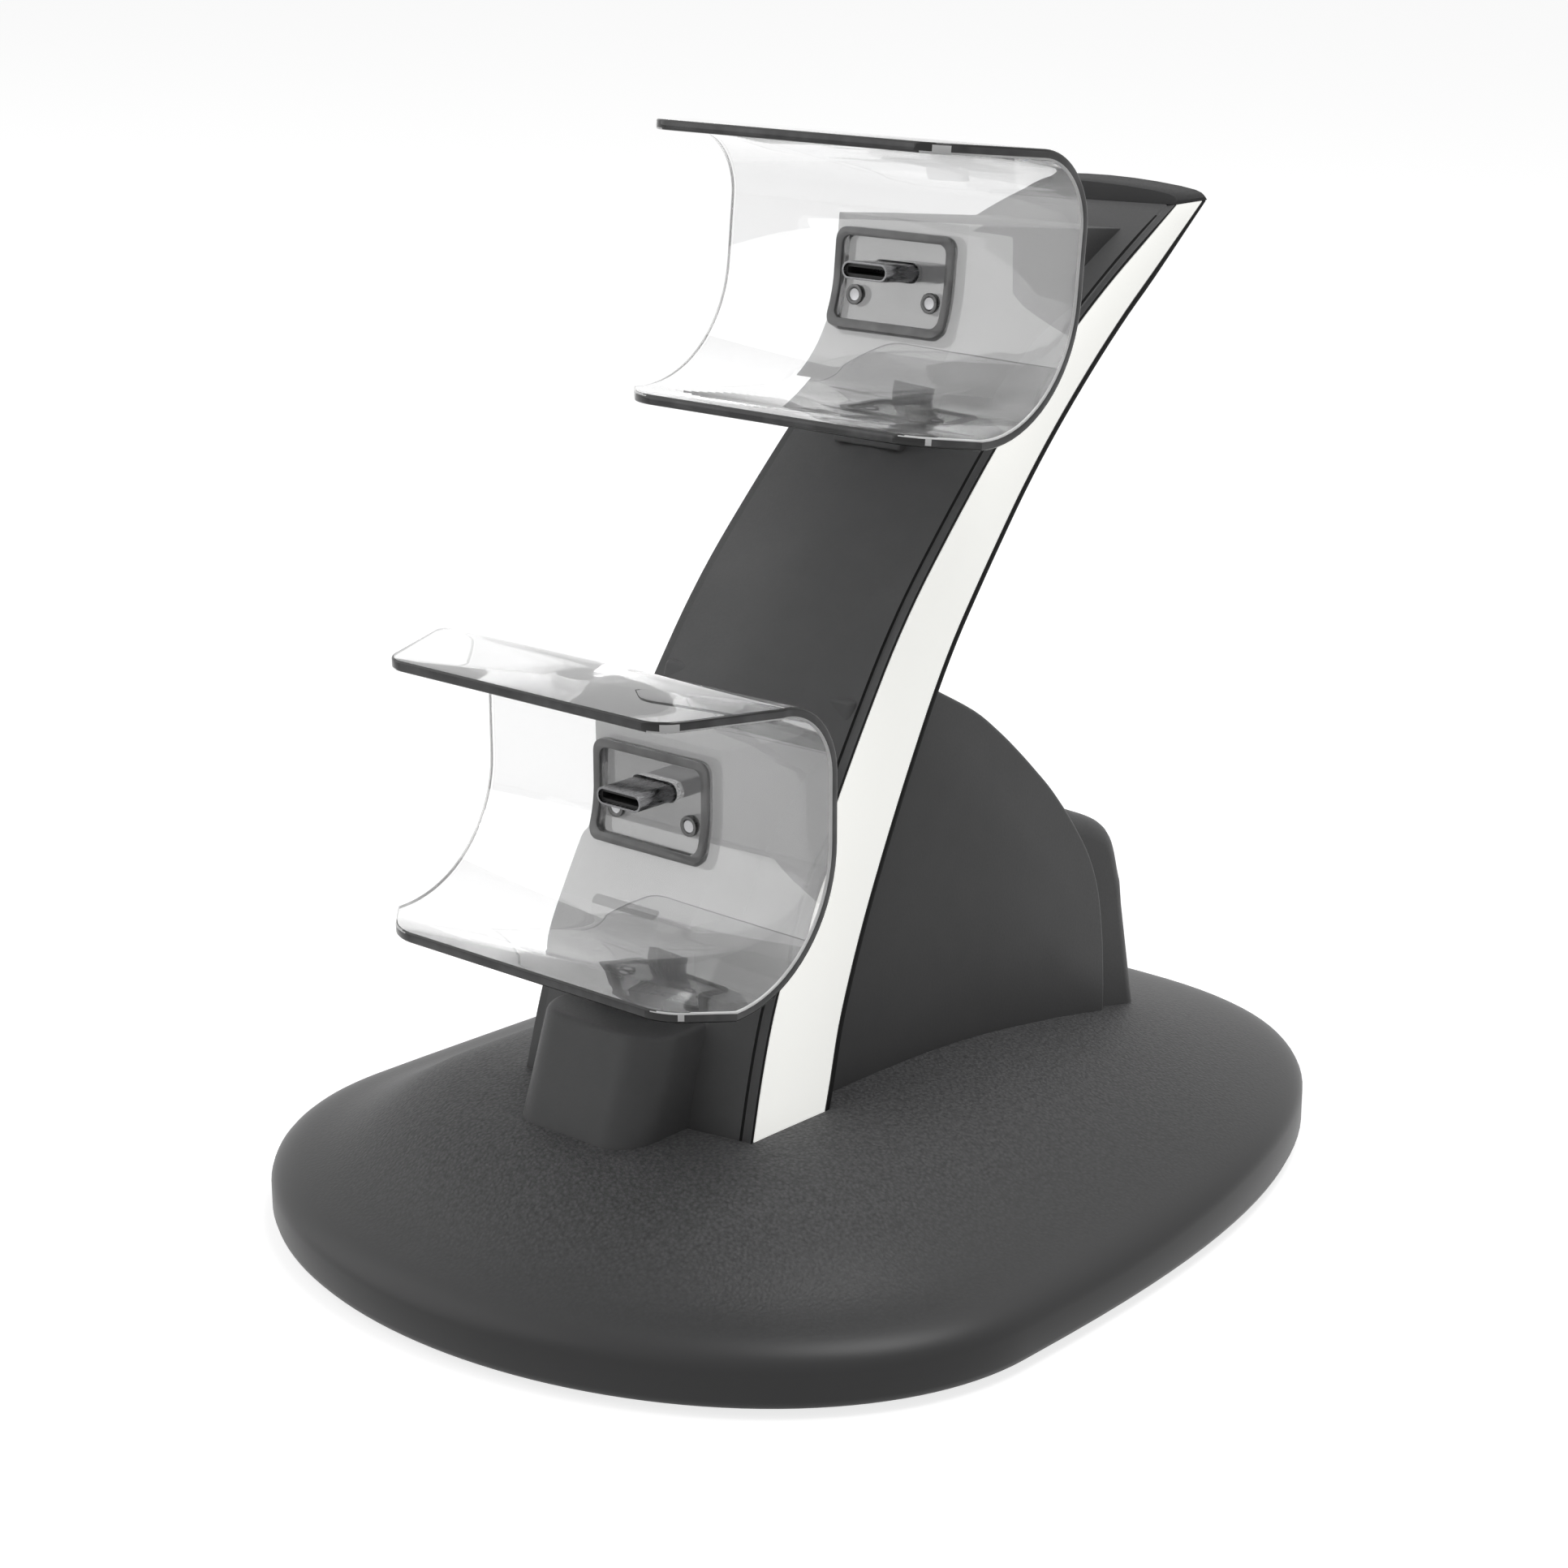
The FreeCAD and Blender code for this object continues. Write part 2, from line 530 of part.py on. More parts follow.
def plug_plate_shape():
    """Plate in the window of the sheet, with a border that laps over the sheet."""
    w, hh, r, mid_ = v("plate_w"), v("plate_h"), v("plate_corner"), v("plate_mid")
    lap, rim_w, dip = 2 * v("plate_lap"), 2 * v("rim_width"), v("plate_dip")
    inner = rounded_rect(w - rim_w, hh - rim_w, r - rim_w * 0.25, D - 17, 22, mid_)
    core = rounded_rect(w - lap, hh - lap, r - lap * 0.25, D - 16, 20, mid_)
    p = band(0, S - dip, w + 10).common(core)
    p = p.fuse(band(S - dip, S, w + 10).common(core.cut(inner)))
    p = p.fuse(band(S, S + v("rim_rise"), w + 10).common(rounded_rect(w, hh, r, D - 16, 20, mid_).cut(inner)))
    p = p.cut(rounded_rect(v("plug_w") + 0.3, v("plug_t") + 0.3, (v("plug_t") + 0.3) / 2 - 0.01, D - 20, 30, v("plug_level")))
    for sx in (-1, 1):
        p = p.cut(peg(screw_pass, Vector(sx * v("pin_across"), D - 20, v("pin_level")), 30, "y"))
        p = p.cut(peg(v("pin_head") + 0.1, Vector(sx * v("pin_across"), D - 20, v("pin_level")), 20 - pin_seat, "y", 16))
    return p.removeSplitter()


def plug_shell_shape():
    w, t_, m = v("plug_w"), v("plug_t"), v("plug_wall")
    y0 = D - S - v("plug_reach")
    length = v("plug_reach") + S + v("block_wall") - 0.1
    tube = rounded_rect(w, t_, t_ / 2 - 0.01, y0, length, v("plug_level"))
    return tube.cut(rounded_rect(w - 2 * m, t_ - 2 * m, t_ / 2 - m - 0.01, y0 - 1, length + 2, v("plug_level")))


def plug_insert_shape():
    w, t_, m = v("plug_w"), v("plug_t"), v("plug_wall")
    y0 = D - S - v("plug_reach") + 0.5
    length = v("plug_reach") + S + v("block_wall") - 0.6
    core = rounded_rect(w - 2 * m - 0.04, t_ - 2 * m - 0.04, t_ / 2 - m - 0.04, y0, length, v("plug_level"))
    return core.cut(rounded_rect(w - 2 * m - 0.8, 0.95, 0.2, y0 - 1, length * 0.8, v("plug_level")))


body_y = D + v("block_wall")


def plug_body_shape():
    return rounded_rect(v("plug_body_w"), v("plug_body_h"), 1.4, body_y, v("plug_body_d"), v("plug_level"))


def pins_shape():
    out = []
    y_head = D - pin_seat - 0.02
    for sx in (-1, 1):
        c = Vector(sx * v("pin_across"), 0, v("pin_level"))
        head = peg(v("pin_head"), Vector(c.x, y_head - v("pin_head_t"), c.z), v("pin_head_t"), "y", 16)
        shank = peg(v("pin_radius"), Vector(c.x, y_head, c.z), v("pin_reach"), "y")
        out.append(head.fuse(shank).removeSplitter())
    return Part.makeCompound(out)


def mount_block(place, gusset_at, gusset_low):
    """Hollow block between the upright and the cradle, with a support under the bend."""
    a = v("block_width") / 2
    flare = v("block_flare") / 2
    z0, z1_ = v("block_base"), v("block_top")
    plan = Part.Face(Part.makePolygon([Vector(-a, 2, z0), Vector(a, 2, z0), Vector(a, D, z0), Vector(a + flare, D + 40, z0),
                                       Vector(a + flare, D + 70, z0), Vector(-a - flare, D + 70, z0),
                                       Vector(-a - flare, D + 40, z0), Vector(-a, D, z0), Vector(-a, 2, z0)]))
    solid = plan.extrude(Vector(0, 0, z1_ - z0))
    g = v("gusset_width") / 2
    solid = solid.fuse(Part.makeBox(2 * g, D + 70 - gusset_at, z0 - gusset_low + 1, Vector(-g, gusset_at, gusset_low)))
    solid = solid.cut(envelope(120))
    w_ = v("block_wall")
    # cavity for the plug body and its board
    solid = solid.cut(Part.makeBox(v("mini_board_w") + 1.0, 80, v("mini_board_h") + 1.0,
                                   Vector(-v("mini_board_w") / 2 - 0.5, D + w_, v("plug_level") - v("mini_board_h") / 2 - 0.5)))
    solid = solid.cut(rounded_rect(v("plug_w") + 0.3, v("plug_t") + 0.3, (v("plug_t") + 0.3) / 2 - 0.01, D - 10, 30, v("plug_level")))
    for sx in (-1, 1):
        solid = solid.cut(peg(v("pin_radius") + 0.05, Vector(sx * v("pin_across"), D - 10, v("pin_level")), 14, "y"))
    solid.Placement = place
    solid = solid.cut(upright_solid)
    pieces = [s for s in solid.Solids if s.BoundBox.YMin < place.Base.y + D + 6 and s.Volume > 200]
    pieces.sort(key=lambda s: s.CenterOfMass.y)
    return pieces[0]


low_place = at(0, v("lower_cradle_y"), v("lower_cradle_z"))
high_place = at(0, v("upper_cradle_y"), v("upper_cradle_z"), (1, 0, 0), -v("upper_cradle_lean"))
boss_top = crown + v("boss_height")
lower_block = mount_block(low_place, v("lower_gusset_at"), boss_top + 0.05 - v("lower_cradle_z"))
upper_block = mount_block(high_place, v("upper_gusset_at"), -v("upper_gusset_drop"))
feature("lower_mount_block", lower_block)
feature("upper_mount_block", upper_block)

for tag, place in (("lower", low_place), ("upper", high_place)):
    feature(tag + "_cradle", cradle_shape(), place)
    feature(tag + "_plug_plate", plug_plate_shape(), place)
    feature(tag + "_plug_shell", plug_shell_shape(), place)
    feature(tag + "_plug_insert", plug_insert_shape(), place)
    feature(tag + "_plug_body", plug_body_shape(), place)
    feature(tag + "_plate_screws", pins_shape(), place)
    turn = at(0, body_y + v("plug_body_d") + v("fit_gap") * 0.5 + v("mini_board_t"), v("plug_level"), (1, 0, 0), 90)
    slab(tag + "_plug_board", "mini_board_w", "mini_board_h", "mini_board_t", place.multiply(turn))

# front foot: the boss that carries the lower cradle down to the base
y_foot = v("upright_foot_at")
rake = v("boss_rake")
z_low = crown - 4.0
slope = rake / v("boss_height")
pf = [(y_foot - v("boss_reach") - slope * 4.0, z_low), (y_foot - v("boss_reach") + rake, boss_top),
      (y_foot + 14, boss_top), (y_foot + 14, z_low)]
boss = Part.Face(Part.makePolygon([Vector(-v("boss_width") / 2, a, b) for a, b in pf + pf[:1]]))
boss = boss.extrude(Vector(v("boss_width"), 0, 0))
front_edges = []
for e in boss.Edges:
    p, q = e.Vertexes[0].Point, e.Vertexes[-1].Point
    if abs(p.x - q.x) < 1e-6 and min(p.z, q.z) < z_low + 1 and max(p.z, q.z) > boss_top - 1 and max(p.y, q.y) < y_foot:
        front_edges.append(e)
boss = boss.makeFillet(v("boss_round"), front_edges)
boss = boss.cut(base_solid).cut(upright_solid)
boss = sorted(boss.Solids, key=lambda s: s.CenterOfMass.y)[0]
feature("front_foot_boss", boss)

# Rear housing: arc from the upright's back down to the base, with a rounded bay behind.
hs = v("housing_start")
hw_ = v("housing_width") / 2
y_start = v("upright_foot_at") + v("upright_foot_thick") + 24.7
ARCH = [(0, 57.0), (3.5, 54.9), (12.5, 50.0), (18.4, 45.7), (23.4, 41.5), (28.0, 37.3), (32.2, 33.2), (37.5, 27.0),
        (42.0, 20.5), (44.6, 14.0), (46.0, 6.0), (46.6, -2.0)]
scale = hs / 57.0
arch = [Vector(0, y_start + a, crown + b * scale) for a, b in ARCH]
end_y = arch[-1].y
floor_z = crown - 14.0
front_y = v("upright_foot_at") + 2.0


def arch_solid(off):
    """Side profile of the housing, moved inward by off and drawn across the width."""
    pts = []
    for i, p in enumerate(arch):
        a, b = arch[max(i - 1, 0)], arch[min(i + 1, len(arch) - 1)]
        dy, dz = b.y - a.y, b.z - a.z
        size = math.hypot(dy, dz)
        pts.append(Vector(0, p.y + off * dz / size, p.z - off * dy / size))
    curve = Part.BSplineCurve()
    curve.interpolate(pts)
    share = (curve.LastParameter - curve.FirstParameter) / 24
    pts = [curve.value(curve.FirstParameter + share * i) for i in range(25)]
    low_end, low_front = Vector(0, pts[-1].y, floor_z + off), Vector(0, front_y + off, floor_z + off)
    top_front = Vector(0, front_y + 20 + off, pts[0].z)
    f_ = Part.Face(closed(pts + [low_end, low_front, top_front]))
    f_.translate(Vector(-(hw_ - off), 0, 0))
    return f_.extrude(Vector(2 * (hw_ - off), 0, 0))


main = arch_solid(0)
bay_w = v("bay_width") / 2
bay_y1 = end_y + v("bay_reach") - 4.0
bh = v("bay_height")
bay_pts = [Vector(0, end_y - 26, floor_z), Vector(0, end_y - 26, crown + bh), Vector(0, end_y - 6.5, crown + bh)]
c1 = Part.Arc(Vector(0, end_y - 6.5, crown + bh), Vector(0, end_y + 3.6, crown + bh - 5.2), Vector(0, bay_y1 - 1.4, crown + bh - 14.5)).toShape()
bay_edges = [Part.makeLine(bay_pts[0], bay_pts[1]), Part.makeLine(bay_pts[1], bay_pts[2]), c1,
             Part.makeLine(Vector(0, bay_y1 - 1.4, crown + bh - 14.5), Vector(0, bay_y1 - 0.8, crown + 9.5)),
             Part.makeLine(Vector(0, bay_y1 - 0.8, crown + 9.5), Vector(0, bay_y1 + 3.0, crown - 6.0)),
             Part.makeLine(Vector(0, bay_y1 + 3.0, crown - 6.0), Vector(0, bay_y1 + 3.0, floor_z)),
             Part.makeLine(Vector(0, bay_y1 + 3.0, floor_z), bay_pts[0])]
bay_face = Part.Face(Part.Wire(Part.__sortEdges__(bay_edges)))


def bay_solid(off):
    f_ = bay_face.copy() if off == 0 else bay_face.makeOffset2D(-off)
    f_.translate(Vector(-(bay_w - off), 0, 0))
    s_ = f_.extrude(Vector(2 * (bay_w - off), 0, 0))
    r = v("bay_round") - off
    keep_ = rounded_plan(bay_w - off, end_y - 40, bay_y1 + 3.0 - off, r)
    return s_.common(keep_)


def rounded_plan(a, y0, y2, r):
    box = Part.makeBox(2 * a, y2 - y0, 200, Vector(-a, y0, floor_z - 10))
    es = [e for e in box.Edges if abs(e.Vertexes[0].Point.z - e.Vertexes[-1].Point.z) > 100 and e.Vertexes[0].Point.y > y2 - 1e-6]
    return box.makeFillet(r, es)


hwall = v("housing_wall")
inner_main = arch_solid(hwall)
housing = main.fuse(bay_solid(0))
housing = largest(housing.cut(upright_solid))
housing = largest(housing.cut(base_solid))
for tool in (inner_main, bay_solid(hwall)):
    housing = largest(housing.cut(tool))
hs_z = crown + v("socket_level")
hole = rounded_rect(v("socket_w") + 2 * v("socket_gap"), v("socket_t") + 2 * v("socket_gap"), v("socket_t") / 2 + v("socket_gap") - 0.01,
                    bay_y1 - 8, 14, hs_z)
housing = housing.cut(hole)
housing = largest(housing)
feature("rear_housing", housing)

sock_y = bay_y1 - 1.0
sock = rounded_rect(v("socket_w"), v("socket_t"), v("socket_t") / 2 - 0.01, sock_y - v("socket_depth"), v("socket_depth"), hs_z)
sock = sock.cut(rounded_rect(v("socket_w") - 2 * v("socket_wall"), v("socket_t") - 2 * v("socket_wall"),
                             v("socket_t") / 2 - v("socket_wall") - 0.01, sock_y - v("socket_depth") + 0.8, v("socket_depth"), hs_z))
feature("power_inlet_shell", sock)
tongue = Part.makeBox(6.6, v("socket_depth") - 2.2, v("tongue_t"), Vector(-3.3, sock_y - v("socket_depth") + 0.8, hs_z - v("tongue_t") / 2))
feature("power_inlet_tongue", tongue)
slab_y = sock_y - v("socket_depth") - v("fit_gap") * 0.5
slab("power_board", "mini_board_w", "mini_board_h", "mini_board_t", at(0, slab_y, hs_z, (1, 0, 0), 90))

doc.recompute()

bad = []
for obj in doc.Objects:
    if "Invalid" in obj.State or "Error" in obj.State:
        bad.append("%s: %s" % (obj.Label, obj.State))
for obj in NODES:
    if obj.Shape.isNull() or not obj.Shape.isValid() or not obj.Shape.Solids:
        bad.append("%s: no valid shape" % obj.Label)
if bad:
    raise RuntimeError("; ".join(bad))

os.makedirs("parts", exist_ok=True)
for obj in NODES:
    obj.Shape.exportStep("parts/%s.step" % obj.Label)
print(len(NODES), "sub-parts")
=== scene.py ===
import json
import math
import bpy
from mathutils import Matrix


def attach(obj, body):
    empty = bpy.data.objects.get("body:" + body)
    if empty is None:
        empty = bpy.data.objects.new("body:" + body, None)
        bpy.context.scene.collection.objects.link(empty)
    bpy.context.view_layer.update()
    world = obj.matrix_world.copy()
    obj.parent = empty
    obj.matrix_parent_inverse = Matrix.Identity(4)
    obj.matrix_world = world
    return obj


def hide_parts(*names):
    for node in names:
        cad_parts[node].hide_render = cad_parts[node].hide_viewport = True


bl_info = {
    "name": "Two-place charging dock",
    "version": (1, 0, 0),
    "blender": (4, 5, 0),
    "location": "3D View > Sidebar > Charging dock",
    "description": "Dresses the charging dock's frame with its visible pieces, finishes and stage",
    "category": "Object",
}

import bmesh
import bpy
from bpy.props import FloatProperty, FloatVectorProperty, IntProperty, PointerProperty
from mathutils import Vector

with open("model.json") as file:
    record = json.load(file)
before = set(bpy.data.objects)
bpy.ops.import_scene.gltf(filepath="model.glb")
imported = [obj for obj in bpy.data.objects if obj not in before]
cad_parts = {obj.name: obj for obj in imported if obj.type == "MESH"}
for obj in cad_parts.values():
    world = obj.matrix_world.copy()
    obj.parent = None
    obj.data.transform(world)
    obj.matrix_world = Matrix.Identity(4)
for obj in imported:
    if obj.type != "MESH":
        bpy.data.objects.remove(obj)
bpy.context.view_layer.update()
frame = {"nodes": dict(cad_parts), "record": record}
MM = 0.001
# Distances below this count as nought.
TINY = 1e-6
# The blocks end this far before the line of the upright's side edges, which is inside its ridged front.
BLOCK_END = 0.0006

# Places of the two cradles: front lower edge and backward lean in degrees.
CRADLES = {
    "lower": ((0.0, -0.0626, 0.0472), 0.0),
    "upper": ((0.0, -0.01285, 0.1163), 5.8),
}
# Course of the upright's front face: share of its rise, share of its run.
COURSE = [(0, 0), (0.1202, 0.0398), (0.2294, 0.0965), (0.3361, 0.1662), (0.4479, 0.2498), (0.5630, 0.3473),
          (0.6664, 0.4607), (0.7672, 0.5861), (0.8597, 0.7264), (0.9353, 0.8627), (1, 1)]
# Course of the rear housing from the upright down to the base, behind its start and above the crown, in mm.
HOUSING = [(0, 57.0), (3.5, 54.9), (12.5, 50.0), (18.4, 45.7), (23.4, 41.5), (28.0, 37.3), (32.2, 33.2),
           (37.5, 27.0), (42.0, 20.5), (44.6, 14.0), (46.0, 6.0), (46.6, -2.0)]
# Rim of the base, in mm: run inward, height.
RIM = [(0.9, 1.2), (0.3, 1.7), (0.0, 2.5)]
# Section of the base's edge from the rim to the crown, in mm: run inward, height in front, height at the rear.
DOME = [(0, 6.0, 7.4), (0.5, 7.2, 8.6), (1.8, 8.4, 9.7), (3.8, 9.4, 10.7), (6.5, 10.2, 11.8), (9.5, 11.0, 13.0),
        (13, 12.3, 14.4), (17, 14.3, 15.9), (21, 16.6, 17.4), (25, 18.8, 18.8), (30, 20.8, 20.2), (35, 21.9, 21.4),
        (40, 22.5, 22.3), (44, 22.7, 22.7)]


class DockSizes(bpy.types.PropertyGroup):
    cradle_width: FloatProperty(
        name="Cradle width", description="Across the back wall of a cradle", default=0.0653, unit="LENGTH")
    cradle_mouth: FloatProperty(
        name="Cradle mouth", description="Across the front edges of a cradle", default=0.0514, unit="LENGTH")
    cradle_height: FloatProperty(
        name="Cradle height", description="Outside height of a cradle", default=0.04055, unit="LENGTH")
    cradle_depth: FloatProperty(
        name="Cradle depth", description="Outside depth of a cradle", default=0.0272, unit="LENGTH")
    sheet: FloatProperty(
        name="Sheet", description="Wall of the clear sheet", default=0.0015, unit="LENGTH")
    bend_top: FloatProperty(
        name="Upper bend", description="Outer radius of the upper bend", default=0.011, unit="LENGTH")
    bend_bottom: FloatProperty(
        name="Lower bend", description="Outer radius of the lower bend", default=0.0201, unit="LENGTH")
    mouth_corner: FloatProperty(
        name="Mouth corner", description="Rounding of the corners at the mouth", default=0.003, unit="LENGTH")
    bend_steps: IntProperty(
        name="Bend steps", description="Steps in each bend of a cradle", default=18, min=4)
    base_width: FloatProperty(
        name="Base width", description="Widest across the base", default=0.1308, unit="LENGTH")
    base_reach: FloatProperty(
        name="Base reach", description="Front and rear edge from the middle of the base",
        default=0.0845, unit="LENGTH")
    base_wide_at: FloatProperty(
        name="Widest at", description="Where the base is widest, from its middle", default=-0.0344, unit="LENGTH")
    crown: FloatProperty(
        name="Crown", description="Height of the base's top above the floor", default=0.0227, unit="LENGTH")
    dome_run: FloatProperty(
        name="Dome run", description="From the rim to the flat crown", default=0.044, unit="LENGTH")
    rise: FloatProperty(
        name="Upright rise", description="Height of the upright above the base", default=0.119, unit="LENGTH")
    run: FloatProperty(
        name="Upright run", description="How far the top lies behind the foot", default=0.1005, unit="LENGTH")
    foot_at: FloatProperty(
        name="Upright foot", description="Front of the upright at its foot", default=-0.0412, unit="LENGTH")
    foot_thick: FloatProperty(
        name="Foot depth", description="Front to back of the upright at its foot", default=0.0168, unit="LENGTH")
    tip_thick: FloatProperty(
        name="Tip depth", description="Front to back of the upright near its top", default=0.0059, unit="LENGTH")
    ridge: FloatProperty(
        name="Ridge", description="Rise of the ridge along the upright's front", default=0.003, unit="LENGTH")
    block_width: FloatProperty(
        name="Block width", description="Width of the block behind a cradle", default=0.024, unit="LENGTH")
    block_top: FloatProperty(
        name="Block top", description="Top of a block above its cradle's underside", default=0.0287, unit="LENGTH")
    plate_width: FloatProperty(
        name="Plug plate width", description="Across the border of a plug plate", default=0.0218, unit="LENGTH")
    plate_height: FloatProperty(
        name="Plug plate height", description="Height of a plug plate", default=0.0144, unit="LENGTH")
    plate_level: FloatProperty(
        name="Plug plate level", description="Middle of a plug plate above its cradle's underside",
        default=0.0197, unit="LENGTH")
    plug_level: FloatProperty(
        name="Plug level", description="Middle of a plug above its cradle's underside",
        default=0.02115, unit="LENGTH")
    plug_reach: FloatProperty(
        name="Plug reach", description="How far a plug stands in front of the sheet", default=0.0068, unit="LENGTH")
    housing_width: FloatProperty(
        name="Housing width", description="Width of the rear housing", default=0.036, unit="LENGTH")
    bay_width: FloatProperty(
        name="Bay width", description="Width of the rear bay", default=0.033, unit="LENGTH")


class DockFinishes(bpy.types.PropertyGroup):
    charcoal: FloatVectorProperty(
        name="Charcoal plastic", description="Colour of the upright, blocks and housing",
        subtype="COLOR", default=(0.077, 0.077, 0.078))
    grained: FloatVectorProperty(
        name="Grained plastic", description="Colour of the base's cover",
        subtype="COLOR", default=(0.05, 0.05, 0.051))
    diffuser: FloatVectorProperty(
        name="Diffuser", description="Colour of the side light strips", subtype="COLOR", default=(0.87, 0.87, 0.84))
    metal: FloatVectorProperty(
        name="Plug metal", description="Colour of the plugs' shells", subtype="COLOR", default=(0.2, 0.2, 0.205))
    board: FloatVectorProperty(
        name="Circuit board", description="Colour of the circuit boards", subtype="COLOR", default=(0.03, 0.16, 0.08))
    grain_size: FloatProperty(
        name="Grain size", description="Size of one grain on the base", default=0.0006, unit="LENGTH")
    grain_depth: FloatProperty(
        name="Grain depth", description="Depth of the grain on the base", default=0.00008, unit="LENGTH")


def leave_edit():
    bpy.ops.object.mode_set(mode="OBJECT")


def place_into_mesh():
    bpy.ops.object.transform_apply(location=True, rotation=True, scale=True)


def extrude(x, y, z):
    bpy.ops.mesh.extrude_region_move(TRANSFORM_OT_translate={"value": (x, y, z)})


def deselect():
    if bpy.context.object and bpy.context.object.mode != "OBJECT":
        leave_edit()
    bpy.ops.object.select_all(action="DESELECT")


def activate(obj):
    deselect()
    obj.select_set(True)
    bpy.context.view_layer.objects.active = obj


def edit(obj):
    activate(obj)
    bpy.ops.object.mode_set(mode="EDIT")


def pick(obj, kind, test):
    """Select the faces, edges or points of a mesh in edit mode whose middle and normal pass the test."""
    bpy.ops.mesh.select_mode(type={"faces": "FACE", "edges": "EDGE", "verts": "VERT"}[kind])
    bpy.ops.mesh.select_all(action="DESELECT")
    shape = bmesh.from_edit_mesh(obj.data)
    found = False
    for item in getattr(shape, kind):
        if kind == "faces":
            place, normal = item.calc_center_median(), item.normal
        elif kind == "edges":
            place, normal = (item.verts[0].co + item.verts[1].co) / 2, item.verts[1].co - item.verts[0].co
        else:
            place, normal = item.co, item.normal
        if test(place, normal):
            item.select_set(True)
            found = True
    shape.select_flush_mode()
    bmesh.update_edit_mesh(obj.data)
    if not found:
        raise RuntimeError("nothing to select on " + obj.name)


def modifier(obj, kind, **settings):
    """Add one modifier, set it and apply it."""
    activate(obj)
    item = obj.modifiers.new(kind.lower(), kind)
    for name, value in settings.items():
        setattr(item, name, value)
    bpy.ops.object.modifier_apply(modifier=item.name)


def soften(obj, width, angle, segments, **more):
    """Round every edge that is sharper than an angle in degrees."""
    modifier(obj, "BEVEL", width=width, segments=segments, limit_method="ANGLE", angle_limit=math.radians(angle),
             harden_normals=False, miter_outer="MITER_ARC", **more)


def smooth(obj, angle):
    """Shade faces as one where they meet at less than an angle in degrees."""
    activate(obj)
    bpy.ops.object.shade_smooth_by_angle(angle=math.radians(angle))


def outward(obj):
    """Join doubled points and turn all faces outwards."""
    edit(obj)
    bpy.ops.mesh.select_all(action="SELECT")
    bpy.ops.mesh.remove_doubles(threshold=TINY)
    bpy.ops.mesh.normals_make_consistent(inside=False)
    leave_edit()


def settle(obj, slot, material, *nodes):
    """Put the object's place into its mesh, give it its finish, and let it ride and stand for its nodes."""
    activate(obj)
    place_into_mesh()
    obj.data.name = obj.name
    if not obj.data.materials:
        obj.data.materials.append(material)
    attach(obj, "root")
    if nodes:
        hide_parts(*nodes)


def sweep(name, rings, closed=True):
    """Extrude one closed outline through a list of rings."""
    deselect()
    bpy.ops.mesh.primitive_circle_add(vertices=len(rings[0]), radius=0.01, fill_type="NGON" if closed else "NOTHING")
    obj = bpy.context.object
    obj.name = name
    bpy.ops.object.mode_set(mode="EDIT")
    bpy.ops.mesh.select_mode(type="VERT")
    bpy.ops.mesh.select_all(action="SELECT")
    shape = bmesh.from_edit_mesh(obj.data)
    shape.verts.ensure_lookup_table()
    for vert, place in zip(shape.verts, rings[0]):
        vert.co = place
    bmesh.update_edit_mesh(obj.data)
    last = rings[0]
    for ring in rings[1:]:
        extrude(0, 0, 0)
        shape = bmesh.from_edit_mesh(obj.data)
        left = [vert for vert in shape.verts if vert.select]
        for old, new in zip(last, ring):
            vert = min(left, key=lambda item: (item.co - old).length_squared)
            left.remove(vert)
            vert.co = new
        bmesh.update_edit_mesh(obj.data)
        last = ring
    leave_edit()
    return obj


# Finishes
def start_finish(name):
    material = bpy.data.materials.new(name)
    material.use_nodes = True
    return material.node_tree, material.node_tree.nodes["Principled BSDF"]


def preset(node, values):
    """Set some of a node's sockets."""
    for name, value in values.items():
        node.inputs[name].default_value = value


def object_place(tree, scale=(1, 1, 1)):
    coords = tree.nodes.new("ShaderNodeTexCoord")
    mapping = tree.nodes.new("ShaderNodeMapping")
    mapping.inputs["Scale"].default_value = scale
    tree.links.new(coords.outputs["Object"], mapping.inputs["Vector"])
    return mapping.outputs["Vector"]


def noise(tree, place, size, detail=3.0):
    """Soft random pattern whose patches have about the given size."""
    item = tree.nodes.new("ShaderNodeTexNoise")
    preset(item, {"Scale": 1.0 / size, "Detail": detail, "Roughness": 0.55})
    tree.links.new(place, item.inputs["Vector"])
    return item.outputs["Fac"]


def spread(tree, value, low, high, span=(0.3, 0.7)):
    """Map a pattern onto a range of numbers."""
    item = tree.nodes.new("ShaderNodeMapRange")
    preset(item, {"From Min": span[0], "From Max": span[1], "To Min": low, "To Max": high})
    tree.links.new(value, item.inputs["Value"])
    return item.outputs["Result"]


def two_tone(tree, value, first, second):
    """Colour that a pattern moves from the first tone to the second."""
    item = tree.nodes.new("ShaderNodeMix")
    item.data_type = "RGBA"
    preset(item, {"A": (*first, 1), "B": (*second, 1)})
    tree.links.new(value, item.inputs["Factor"])
    return item.outputs["Result"]


def combine(tree, operation, first, second, clamp=False):
    """Sum, product or larger of two values; the second may be a number."""
    item = tree.nodes.new("ShaderNodeMath")
    item.operation = operation
    item.use_clamp = clamp
    tree.links.new(first, item.inputs[0])
    if isinstance(second, float):
        item.inputs[1].default_value = second
    else:
        tree.links.new(second, item.inputs[1])
    return item.outputs[0]


def height_of(tree, place):
    parts = tree.nodes.new("ShaderNodeSeparateXYZ")
    tree.links.new(place, parts.inputs[0])
    return parts.outputs["Z"]


def seen_directly(tree):
    """One for rays that show a thing to the camera, also in a reflection or through clear plastic, else nought."""
    path = tree.nodes.new("ShaderNodeLightPath")
    total = path.outputs["Is Camera Ray"]
    for name in ("Is Glossy Ray", "Is Transmission Ray"):
        total = combine(tree, "ADD", total, path.outputs[name], clamp=True)
    return total


